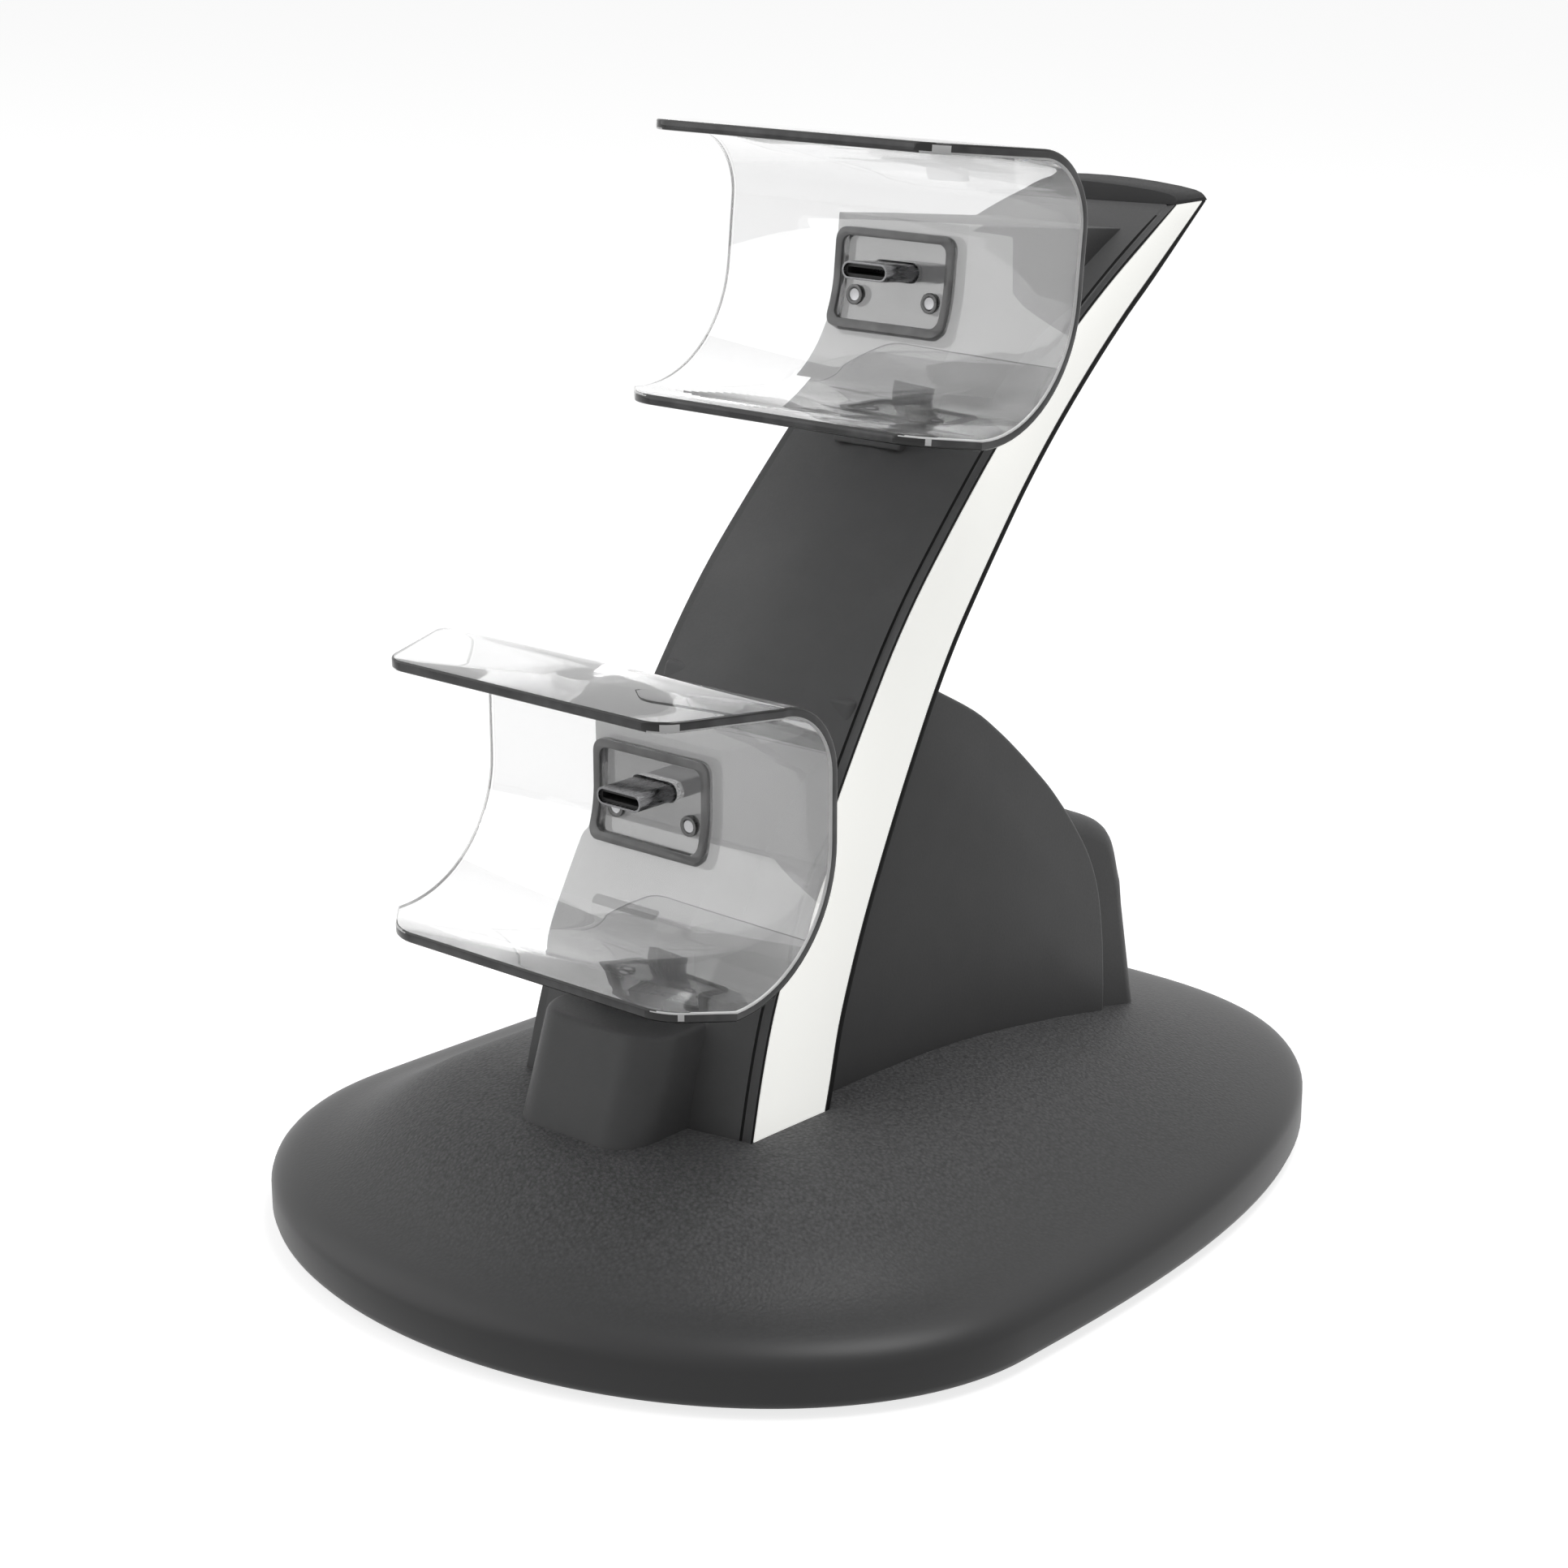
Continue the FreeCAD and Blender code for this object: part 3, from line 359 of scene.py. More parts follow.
def bump(tree, shader, height, depth):
    item = tree.nodes.new("ShaderNodeBump")
    preset(item, {"Distance": depth, "Strength": 1.0})
    tree.links.new(height, item.inputs["Height"])
    tree.links.new(item.outputs["Normal"], shader.inputs["Normal"])


def shade(colour, factor):
    """The colour made lighter or darker."""
    return tuple(min(1.0, part * factor) for part in colour)


def moulded_plastic(name, colour, roughness=0.5, fine=0.0004, depth=0.000012, gloss=0.25):
    """Plain plastic with faint clouds of tone and fine pores."""
    tree, shader = start_finish(name)
    place = object_place(tree)
    cloud = spread(tree, noise(tree, place, 0.012, 2.0), 0, 1)
    tree.links.new(two_tone(tree, cloud, shade(colour, 0.94), shade(colour, 1.06)), shader.inputs["Base Color"])
    pores = noise(tree, place, fine)
    tree.links.new(spread(tree, pores, roughness - 0.05, roughness + 0.06), shader.inputs["Roughness"])
    bump(tree, shader, pores, depth)
    shader.inputs["Specular IOR Level"].default_value = gloss


def grained_plastic(name, colour, size, depth, low, high):
    """Plastic with a leather-like grain of small rounded cells, smooth below the low level; the cells' lighter tops
    are partly the grain's own tone and partly painted highlight.
    """
    tree, shader = start_finish(name)
    place = object_place(tree)
    height = height_of(tree, place)
    cells = tree.nodes.new("ShaderNodeTexVoronoi")
    cells.feature = "SMOOTH_F1"
    preset(cells, {"Scale": 1.0 / size, "Smoothness": 0.5})
    tree.links.new(place, cells.inputs["Vector"])
    domes = spread(tree, cells.outputs["Distance"], 1.0, 0.0, (0.0, 0.7))
    fine = spread(tree, noise(tree, place, size * 0.8, 2.0), 0.0, 0.8)
    fade = spread(tree, height, 0.0, 1.0, (low, high))
    grain = combine(tree, "MULTIPLY", combine(tree, "ADD", domes, fine), fade)
    # Partly painted highlight: the grain lightens the cells' tops to more than twice the base colour.
    tone = spread(tree, grain, 0.0, 1.0, (0.0, 1.8))
    tree.links.new(two_tone(tree, tone, shade(colour, 0.72), shade(colour, 2.3)), shader.inputs["Base Color"])
    tree.links.new(spread(tree, height, 0.4, 0.6, (low, high)), shader.inputs["Roughness"])
    shader.inputs["Specular IOR Level"].default_value = 0.32
    bump(tree, shader, grain, depth)


def clear_sheet(name, painted_veil, gloss, clearest=None, level=0.0):
    """Clear polished plastic with a faint white veil of painted reflection, less of it in the flats and bends above
    and below the wall.
    """
    tree, shader = start_finish(name)
    place = object_place(tree)
    cloud = noise(tree, place, 0.03, 2.0)
    tree.links.new(two_tone(tree, cloud, (0.98, 0.98, 0.982), (0.99, 0.99, 0.99)), shader.inputs["Base Color"])
    tree.links.new(spread(tree, cloud, 0.0, 0.012), shader.inputs["Roughness"])
    preset(shader, {"Transmission Weight": 1.0 - painted_veil, "IOR": 1.3,
                    "Coat Weight": 1.0, "Coat IOR": gloss, "Coat Roughness": 0.01})
    # Painted reflection: the white share is full in the wall and falls off towards the flats and bends below and
    # above.
    if clearest is not None:
        height = height_of(tree, place)
        lower = spread(tree, height, 1.0 - clearest, 1.0 - painted_veil, (level + 0.0015, level + 0.006))
        upper = spread(tree, height, 1.0 - painted_veil, 1.0 - clearest, (level + 0.030, level + 0.036))
        tree.links.new(combine(tree, "MAXIMUM", lower, upper), shader.inputs["Transmission Weight"])


def sheet_edge(name, dark, light, roughness):
    """Edge of clear plastic: dark and glossy from outside, the dark being painted reflection, clear for light that
    comes from inside the sheet.
    """
    tree, shader = start_finish(name)
    streak = noise(tree, object_place(tree), 0.006, 2.0)
    inside = tree.nodes.new("ShaderNodeNewGeometry").outputs["Backfacing"]
    outer = two_tone(tree, spread(tree, streak, 0, 1, (0.4, 0.75)), dark, light)
    mixed = tree.nodes.new("ShaderNodeMix")
    mixed.data_type = "RGBA"
    mixed.inputs["B"].default_value = (0.98, 0.98, 0.98, 1)
    tree.links.new(inside, mixed.inputs["Factor"])
    tree.links.new(outer, mixed.inputs["A"])
    tree.links.new(mixed.outputs["Result"], shader.inputs["Base Color"])
    tree.links.new(inside, shader.inputs["Transmission Weight"])
    tree.links.new(spread(tree, streak, roughness, roughness + 0.06), shader.inputs["Roughness"])
    shader.inputs["IOR"].default_value = 1.45


def light_diffuser(name, colour, glow):
    """Milky plastic, evenly lit from behind."""
    tree, shader = start_finish(name)
    place = object_place(tree)
    cloud = noise(tree, place, 0.02, 2.0)
    tree.links.new(two_tone(tree, cloud, shade(colour, 0.98), shade(colour, 1.01)), shader.inputs["Base Color"])
    fine = noise(tree, place, 0.0003, 2.0)
    tree.links.new(spread(tree, fine, 0.42, 0.55), shader.inputs["Roughness"])
    bump(tree, shader, fine, 0.000008)
    preset(shader, {"Emission Color": (*colour, 1), "Emission Strength": glow})


def plated_metal(name, colour, roughness=0.22):
    """Bright metal with fine drawn lines."""
    tree, shader = start_finish(name)
    lines = noise(tree, object_place(tree, (1, 0.05, 1)), 0.00015)
    tone = spread(tree, lines, 0, 1)
    tree.links.new(two_tone(tree, tone, shade(colour, 0.85), shade(colour, 1.1)), shader.inputs["Base Color"])
    tree.links.new(spread(tree, lines, roughness - 0.06, roughness + 0.1), shader.inputs["Roughness"])
    shader.inputs["Metallic"].default_value = 1.0
    bump(tree, shader, lines, 0.000006)


def solder_board(name, colour):
    """Green board with fine copper tracks under the mask."""
    tree, shader = start_finish(name)
    place = object_place(tree)
    tracks = tree.nodes.new("ShaderNodeTexBrick")
    preset(tracks, {"Scale": 260.0, "Mortar Size": 0.04, "Color1": (*colour, 1),
                    "Color2": (*shade(colour, 1.2), 1), "Mortar": (*shade(colour, 1.7), 1)})
    tree.links.new(place, tracks.inputs["Vector"])
    tree.links.new(tracks.outputs["Color"], shader.inputs["Base Color"])
    tree.links.new(spread(tree, noise(tree, place, 0.002), 0.25, 0.4), shader.inputs["Roughness"])


def make_finishes():
    """All finishes, one of them for each slot of the record."""
    tints = bpy.context.scene.dock_finishes
    moulded_plastic("charcoal_plastic", tints.charcoal)
    # Painted shade: near-black for the shadow in the seams beside the light strips.
    moulded_plastic("seam_black", (0.008, 0.008, 0.008), gloss=0.1)
    # Painted shade: a darker copy of the charcoal plastic for the upright's top edge.
    moulded_plastic("tip_plastic", shade(tints.charcoal, 0.62), 0.65, gloss=0.1)
    grained_plastic("grained_plastic", tints.grained, tints.grain_size, tints.grain_depth, 0.009, 0.018)
    # The white veil of the clear sheets and plate panels is painted reflection.
    clear_sheet("clear_sheet", 0.17, 2.0)
    for tag, (place, _) in CRADLES.items():
        clear_sheet("clear_sheet_" + tag, 0.18, 1.95, 0.05, place[2])
    # Painted reflection: the cut edges and the plug plates' border are dark and streaked, the bevels near-black.
    sheet_edge("clear_sheet_edge", (0.02, 0.02, 0.021), (0.09, 0.09, 0.092), 0.1)
    sheet_edge("clear_sheet_rim", (0.004, 0.004, 0.004), (0.012, 0.012, 0.012), 0.04)
    # Painted highlight: a light finish for the inner bevels and the mouth corners.
    sheet_edge("clear_sheet_glint", (0.75, 0.75, 0.75), (0.9, 0.9, 0.9), 0.04)
    clear_sheet("plate_plastic", 0.09, 1.8)
    sheet_edge("plate_border", (0.13, 0.13, 0.13), (0.22, 0.22, 0.22), 0.12)
    light_diffuser("diffuser", tints.diffuser, 0.57)
    plated_metal("screw_steel", (0.12, 0.12, 0.12), 0.3)
    plated_metal("plug_metal", tints.metal)
    moulded_plastic("plug_plastic", (0.03, 0.03, 0.03), 0.4)
    moulded_plastic("rubber", (0.03, 0.03, 0.03), 0.8, 0.0003, 0.00003)
    solder_board("circuit_board", tints.board)
    plated_metal("steel", (0.45, 0.45, 0.46), 0.35)
    moulded_plastic("harness", (0.75, 0.74, 0.7), 0.6)


class DOCK_OT_finish_nodes(bpy.types.Operator):
    """Give every node of the frame the finish of its slot"""
    bl_idname = "dock.finish_nodes"
    bl_label = "Finish frame nodes"

    def execute(self, context):
        for item in bpy.data.materials[:]:
            item.name = "frame_" + item.name
        make_finishes()
        for row in frame["record"]["subparts"]:
            node = frame["nodes"][row["node"]]
            node.data.materials.clear()
            node.data.materials.append(bpy.data.materials[row["material_slot"]])
        return {"FINISHED"}


def base_outline(sizes, inset):
    """Oval of the base, drawn inward: an ellipse in front and a fuller oval at the rear."""
    count, front_power, rear_power = 144, 2.0, 2.49
    half = sizes.base_width / 2
    share = (half - inset) / half
    ring = []
    for i in range(count):
        a = 2 * math.pi * i / count
        c, s = math.cos(a), math.sin(a)
        power = front_power if s < 0 else rear_power
        reach = sizes.base_reach + sizes.base_wide_at if s < 0 else sizes.base_reach - sizes.base_wide_at
        x = math.copysign(abs(c) ** (2 / power), c) * half * share
        y = sizes.base_wide_at + math.copysign(abs(s) ** (2 / power), s) * reach * share
        ring.append(Vector((x, y, 0.0)))
    return ring


def between(points, steps):
    """More points on a smooth curve through the given ones."""
    out = []
    for i in range(len(points) - 1):
        p1, p2 = points[i], points[i + 1]
        p0 = points[i - 1] if i else p1 - (p2 - p1)
        p3 = points[i + 2] if i + 2 < len(points) else p2 + (p2 - p1)
        for k in range(steps):
            t = k / steps
            out.append(0.5 * ((2 * p1) + (p2 - p0) * t + (2 * p0 - 5 * p1 + 4 * p2 - p3) * t * t
                              + (3 * p1 - p0 - 3 * p2 + p3) * t ** 3))
    return out + [points[-1]]


class DOCK_OT_add_base(bpy.types.Operator):
    """Model the domed cover of the base"""
    bl_idname = "dock.add_base"
    bl_label = "Base cover"

    def execute(self, context):
        sizes = context.scene.dock_sizes
        blend_from, blend_run = -0.02, 0.06
        wall, flat_ring = 0.0025, 0.006
        rim_top = RIM[-1][1]
        tall = (sizes.crown / MM - rim_top) / (DOME[-1][1] - rim_top)
        reach = sizes.dome_run / MM / DOME[-1][0]
        rows = [Vector((inset, height, height)) for inset, height in RIM]
        rows += [Vector((run * reach, rim_top + (front - rim_top) * tall, rim_top + (rear - rim_top) * tall))
                 for run, front, rear in between([Vector(row) for row in DOME], 2)]
        rings = []
        for inset, front, rear in rows:
            ring = base_outline(sizes, inset * MM)
            for point in ring:
                share = min(max((point.y - blend_from) / blend_run, 0.0), 1.0)
                share = share * share * (3 - 2 * share)
                point.z = (front + (rear - front) * share) * MM
            rings.append(ring)
        cover = sweep("base_cover_shell", rings, closed=False)
        edit(cover)
        pick(cover, "edges", lambda p, n: abs(p.z - sizes.crown) < TINY)
        bpy.ops.mesh.edge_face_add()
        bpy.ops.mesh.inset(thickness=flat_ring)
        leave_edit()
        outward(cover)
        modifier(cover, "SOLIDIFY", thickness=wall, offset=-1.0)
        smooth(cover, 50)
        settle(cover, "grained_plastic", bpy.data.materials["grained_plastic"], "base_cover")
        return {"FINISHED"}


def upright_stations(sizes):
    """Front point, inward direction, thickness and half width along the upright."""
    steps, fine_steps = 18, 40
    foot_width, top_width, top_thick, thinning = 0.0441, 0.0356, 0.0084, 1.48
    front = [Vector((sizes.foot_at + b * sizes.run, sizes.crown + a * sizes.rise)) for a, b in COURSE]
    fine = between(front, fine_steps)
    length = [0.0]
    for p, q in zip(fine, fine[1:]):
        length.append(length[-1] + (q - p).length)
    points = []
    for i in range(steps + 1):
        want = length[-1] * i / steps
        points.append(fine[min(range(len(fine)), key=lambda n: abs(length[n] - want))])
    rows = []
    for i, p in enumerate(points):
        if i in (0, steps):
            inward = Vector((1, 0))
            thick = top_thick if i else sizes.foot_thick
        else:
            along = (points[i + 1] - points[i - 1]).normalized()
            inward = Vector((along.y, -along.x))
            thick = sizes.foot_thick - (sizes.foot_thick - sizes.tip_thick) * (i / steps) ** thinning
        wide = foot_width + (top_width - foot_width) * (p.y - sizes.crown) / sizes.rise
        rows.append((p, inward, thick, wide / 2))
    return rows


def upright_rings(sizes, section):
    """One section along the upright's stations and between them, and once more sunk into the base."""
    steps, sunk_by = 3, 0.0015
    rings = []
    for p, inward, thick, half in upright_stations(sizes):
        rings.append([Vector((x, p.x + inward.x * d, p.y + inward.y * d)) for x, d in section(thick, half)])
    columns = [between([ring[k] for ring in rings], steps) for k in range(len(rings[0]))]
    sunk = [column[0] - Vector((0, 0, sunk_by)) for column in columns]
    return [sunk] + [[column[i] for column in columns] for i in range(len(columns[0]))]


def paint_seam_shade(obj, least):
    """Painted shade: near-black on the narrow side faces, where the shells meet the light strips."""
    for part in ("charcoal_plastic", "seam_black"):
        obj.data.materials.append(bpy.data.materials[part])
    for face in obj.data.polygons:
        face.material_index = int(abs(face.normal.x) > least)


class DOCK_OT_add_upright(bpy.types.Operator):
    """Model the curved upright's front and rear skins, its top edge and its light strips"""
    bl_idname = "dock.add_upright"
    bl_label = "Upright"

    def execute(self, context):
        sizes = context.scene.dock_sizes
        named = bpy.data.materials
        # Points across the front, a soft ridge in the middle, a small step beside each strip.
        across = [-1, -0.93, -0.915, -0.65, -0.3, -0.06, 0.06, 0.3, 0.65, 0.915, 0.93, 1]
        ridge_half, ridge_side, step_at, step = 0.3, 0.86, 0.93, 0.0004
        front_skin, rear_skin = 0.0006, 0.001
        strip_wide, strip_front, strip_rear = 0.0018, 0.0007, 0.0011

        def crest(x):
            """How far the front lies behind the line of its side edges, at a share of the half width."""
            x = abs(x)
            if x <= ridge_half:
                return -sizes.ridge * (1 - (1 - ridge_side) * x / ridge_half)
            fall = (x - ridge_half) / (1 - ridge_half)
            return -sizes.ridge * ridge_side * (1 - fall) + (step if x == step_at else 0.0)

        def front_section(thick, half):
            return ([(x * half, crest(x)) for x in across]
                    + [(x * half, crest(x) + front_skin) for x in reversed(across)])

        def rear_section(thick, half):
            return [(-half, thick), (-half, thick - rear_skin), (half, thick - rear_skin), (half, thick)]

        def strip_section(sign):
            def section(thick, half):
                inner, rear = half - strip_wide, thick - strip_rear
                ring = [(half, strip_front), (inner, strip_front), (inner, rear), (half, rear)]
                return ring if sign > 0 else [(-x, d) for x, d in ring]
            return section

        def finish(obj, width, angle):
            outward(obj)
            soften(obj, width, 50, 2)
            smooth(obj, angle)

        front = sweep("upright_front_skin", upright_rings(sizes, front_section))
        finish(front, 0.0002, 30)
        # Painted shade on the front skin's narrow side faces.
        paint_seam_shade(front, 0.75)
        settle(front, "charcoal_plastic", named["charcoal_plastic"], "upright_front_shell")

        p, _, thick, half = upright_stations(sizes)[-1]
        side_tall, middle_more, rear_round, rear_drop = 0.0013, 0.0012, 0.0005, 0.0004
        # Share of the half width, and the share of the top edge's height that is lost there.
        falls = [(0, 0), (0.25, 0), (0.5, 0), (0.75, 0), (0.9, 0.05), (0.96, 0.2), (0.985, 0.4), (1, 0.62)]
        rings = []
        for share, lost in [(-a, b) for a, b in reversed(falls[1:])] + falls:
            tall = (side_tall + middle_more * (1 - share * share)) * (1 - lost)
            x, y, d = share * half, p.x, crest(share)
            rings.append([Vector((x, y + d, p.y)), Vector((x, y + d + 0.8 * tall, p.y + tall)),
                          Vector((x, y + thick - rear_round, p.y + tall)),
                          Vector((x, y + thick, p.y + tall - rear_drop)), Vector((x, y + thick, p.y))])
        cap = sweep("upright_cap", rings)
        finish(cap, 0.0003, 40)
        # The top edge takes the darker copy of the charcoal plastic: painted shade.
        settle(cap, "charcoal_plastic", named["tip_plastic"], "upright_top_cap")

        rear = sweep("upright_rear_skin", upright_rings(sizes, rear_section))
        finish(rear, 0.0002, 30)
        # Painted shade on the rear skin's narrow side faces.
        paint_seam_shade(rear, 0.5)
        settle(rear, "charcoal_plastic", named["charcoal_plastic"], "upright_rear_shell")
        for side, sign in (("left", -1), ("right", 1)):
            strip = sweep("light_diffuser_" + side, upright_rings(sizes, strip_section(sign)))
            finish(strip, 0.00015, 30)
            settle(strip, "diffuser", named["diffuser"], "light_strip_" + side)
        return {"FINISHED"}


def bent_sheet(sizes, name):
    """One cradle in its own frame: y from the front edge to the back, z from the underside."""
    depth, height, top, bottom = sizes.cradle_depth, sizes.cradle_height, sizes.bend_top, sizes.bend_bottom
    bend = {"steps": sizes.bend_steps, "angle": math.radians(90), "axis": (1, 0, 0)}
    deselect()
    bpy.ops.mesh.primitive_plane_add(size=1, location=(0, (depth - top) / 2, height))
    obj = bpy.context.object
    obj.name = name
    obj.scale = (sizes.cradle_width, depth - top, 1)
    place_into_mesh()
    edit(obj)
    pick(obj, "edges", lambda p, n: abs(p.y - (depth - top)) < TINY)
    bpy.ops.mesh.spin(center=(0, depth - top, height - top), **bend)
    extrude(0, 0, -(height - top - bottom))
    bpy.ops.mesh.spin(center=(0, depth - bottom, bottom), **bend)
    extrude(0, -(depth - bottom), 0)
    pick(obj, "verts", lambda p, n: abs(p.y) < TINY)
    bpy.ops.transform.resize(value=(sizes.cradle_mouth / sizes.cradle_width, 1, 1), center_override=(0, 0, 0))
    bpy.ops.mesh.bevel(affect="VERTICES", offset=sizes.mouth_corner, segments=6)
    leave_edit()
    outward(obj)
    return obj


def inside_is_back(obj):
    """Whether the sheet's normals point away from the cradle's inside."""
    wall = max(obj.data.polygons, key=lambda face: face.center.y)
    return wall.normal.y > 0


def depth_in_sheet(sizes, point):
    """How far a point of a cradle lies below the sheet's outer face."""
    depth, height, top, bottom = sizes.cradle_depth, sizes.cradle_height, sizes.bend_top, sizes.bend_bottom
    for radius, level in ((top, height - top), (bottom, bottom)):
        outside = point.z > level if level > bottom else point.z < level
        if outside and point.y > depth - radius:
            return radius - math.hypot(point.y - depth + radius, point.z - level)
    return min(depth - point.y, height - point.z, point.z)


def bar(name, width, depth, height, centre, radius, steps=5):
    """Box along y whose four long edges are rounded."""
    deselect()
    bpy.ops.mesh.primitive_cube_add(size=1, location=centre)
    obj = bpy.context.object
    obj.name = name
    obj.scale = (width, depth, height)
    place_into_mesh()
    edit(obj)
    pick(obj, "edges", lambda p, n: abs(n.y) > depth * 0.9)
    bpy.ops.mesh.bevel(offset=radius, segments=steps, affect="EDGES")
    leave_edit()
    return obj


def cut_with(obj, tool, index=0):
    """Cut one shape out of another; the new walls take the finish of the given slot."""
    if index:
        for material in obj.data.materials:
            tool.data.materials.append(material)
        for face in tool.data.polygons:
            face.material_index = index
    modifier(obj, "BOOLEAN", object=tool, operation="DIFFERENCE", solver="EXACT")
    bpy.data.objects.remove(tool)


def to_cradle(obj, tag):
    """Put a piece modelled in a cradle's own frame where that cradle is."""
    place, lean = CRADLES[tag]
    obj.location = place
    obj.rotation_euler = (math.radians(-lean), 0, 0)


class DOCK_OT_add_cradles(bpy.types.Operator):
    """Model the two clear cradles"""
    bl_idname = "dock.add_cradles"
    bl_label = "Cradles"

    def execute(self, context):
        sizes = context.scene.dock_sizes
        named = bpy.data.materials
        cut_edge, corner_edge, glint = 1, 2, 3
        soft, lap = 0.0003, 0.0006
        for tag in CRADLES:
            sheet = bent_sheet(sizes, tag + "_cradle_sheet")
            sheet.data.materials.append(named["clear_sheet_" + tag])
            for part in ("edge", "rim", "glint"):
                sheet.data.materials.append(named["clear_sheet_" + part])
            modifier(sheet, "SOLIDIFY", thickness=sizes.sheet, offset=-1.0 if inside_is_back(sheet) else 1.0,
                     material_offset_rim=cut_edge, use_even_offset=True)
            corner = sizes.cradle_mouth / 2 - sizes.mouth_corner
            # Painted reflection at the mouth corners: faces turned sideways get the painted highlight, the others
            # near-black.
            for face in sheet.data.polygons:
                at_mouth = face.center.y < sizes.mouth_corner * 1.3 and abs(face.center.x) > corner
                if face.material_index == cut_edge and at_mouth and abs(face.normal.z) < 0.1:
                    face.material_index = glint if abs(face.normal.x) > 0.6 else corner_edge
            # The bevels take the near-black edge finish: painted reflection.
            soften(sheet, soft, 50, 3, material=corner_edge)
            # The inner one of the side edges' bevels gets a painted highlight.
            for face in sheet.data.polygons:
                if face.material_index == corner_edge and abs(face.normal.x) > 0.2:
                    if depth_in_sheet(sizes, face.center) > sizes.sheet - soft:
                        face.material_index = glint
            window = bar("window", sizes.plate_width - 2 * lap, 0.02, sizes.plate_height - 2 * lap,
                         (0, sizes.cradle_depth - 0.002, sizes.plate_level), 0.0016)
            cut_with(sheet, window, cut_edge)
            smooth(sheet, 35)
            to_cradle(sheet, tag)
            settle(sheet, "clear_sheet", named["clear_sheet_" + tag], tag + "_cradle")
        return {"FINISHED"}


def bend_to_sheet(obj, sizes):
    """Move the points of a flat plate onto the lower bend of the sheet."""
    for vert in obj.data.vertices:
        drop = sizes.bend_bottom - vert.co.z
        if drop > 0:
            radius = sizes.bend_bottom - (sizes.cradle_depth - vert.co.y)
            vert.co.y -= radius - math.sqrt(max(radius * radius - drop * drop, 0.0))


class DOCK_OT_add_plugs(bpy.types.Operator):
    """Model the plug plates, their screws and the metal plugs"""
    bl_idname = "dock.add_plugs"
    bl_label = "Plugs"

    def execute(self, context):
        sizes = context.scene.dock_sizes
        named = bpy.data.materials
        screw_across, screw_level = 0.007, 0.0172
        for tag in CRADLES:
            border = ring_plate(sizes, tag + "_plug_plate_border")
            soften(border, 0.00012, 50, 2)
            smooth(border, 40)
            to_cradle(border, tag)
            # The border takes the dark edge finish: painted reflection.
            settle(border, "plate_plastic", named["plate_border"], tag + "_plug_plate")
            panel = panel_plate(sizes, tag + "_plug_plate_panel")
            to_cradle(panel, tag)
            settle(panel, "plate_plastic", named["plate_plastic"], tag + "_plug_plate")
            for side, sign in (("left", -1), ("right", 1)):
                screw = plate_screw(sizes, tag + "_plate_screw_" + side, sign * screw_across, screw_level)
                to_cradle(screw, tag)
                settle(screw, "steel", named["screw_steel"], tag + "_plate_screws")
            shell = plug_shell(sizes, tag + "_plug_sleeve")
            to_cradle(shell, tag)
            settle(shell, "plug_metal", named["plug_metal"], tag + "_plug_shell")
        return {"FINISHED"}


def flat_plate(name, width, height, centre, corner, thick):
    """Rounded plate facing the front, cut across so that it can follow a bend."""
    strips = 12
    obj = bar(name, width, thick, height, centre, corner, 6)
    edit(obj)
    for level in range(1, strips):
        bpy.ops.mesh.select_all(action="SELECT")
        bpy.ops.mesh.bisect(plane_co=(0, 0, centre[2] + height * (level / strips - 0.5)), plane_no=(0, 0, 1))
    leave_edit()
    return obj


def ring_plate(sizes, name):
    """Raised border of a plug plate, on the sheet's inner face around the window."""
    face = sizes.cradle_depth - sizes.sheet
    thick, border = 0.0006, 0.0012
    obj = flat_plate(name, sizes.plate_width, sizes.plate_height, (0, face - thick / 2, sizes.plate_level),
                     0.002, thick)
    hole = bar("hole", sizes.plate_width - 2 * border, 0.02, sizes.plate_height - 2 * border,
               (0, face, sizes.plate_level), 0.0014, 6)
    cut_with(obj, hole)
    bend_to_sheet(obj, sizes)
    return obj


def panel_plate(sizes, name):
    """Clear middle of a plug plate, set into the window, with a slot for the plug."""
    face = sizes.cradle_depth - sizes.sheet
    inset, set_back = 0.0008, 0.0003
    thick = sizes.sheet - 0.0004
    obj = flat_plate(name, sizes.plate_width - 2 * inset, sizes.plate_height - 2 * inset,
                     (0, face + set_back + thick / 2, sizes.plate_level), 0.0013, thick)
    cut_with(obj, bar("slot", 0.0088, 0.02, 0.003, (0, face, sizes.plug_level), 0.00149, 8))
    bend_to_sheet(obj, sizes)
    smooth(obj, 40)
    return obj


def plate_screw(sizes, name, across, level):
    """Small pan head with a round drive recess and a bright spot in its middle."""
    radius, head, rim, recess, spot = 0.0015, 0.0006, 0.0005, 0.0002, 0.0004
    face = sizes.cradle_depth - sizes.sheet - 0.00005
    deselect()
    bpy.ops.mesh.primitive_cylinder_add(vertices=32, radius=radius, depth=head, location=(across, face, level),
                                        rotation=(math.radians(90), 0, 0))
    obj = bpy.context.object
    obj.name = name
    place_into_mesh()
    edit(obj)
    pick(obj, "faces", lambda p, n: n.y < -0.9)
    bpy.ops.mesh.inset(thickness=rim)
    extrude(0, recess, 0)
    bpy.ops.transform.resize(value=(0.9, 1, 0.9), center_override=(across, face, level))
    leave_edit()
    for part in ("screw_steel", "steel"):
        obj.data.materials.append(bpy.data.materials[part])
    for flat in obj.data.polygons:
        off_middle = (flat.center - Vector((across, flat.center.y, level))).length
        flat.material_index = int(flat.normal.y < -0.9 and off_middle < spot)
    soften(obj, 0.00012, 40, 2)
    smooth(obj, 40)
    return obj


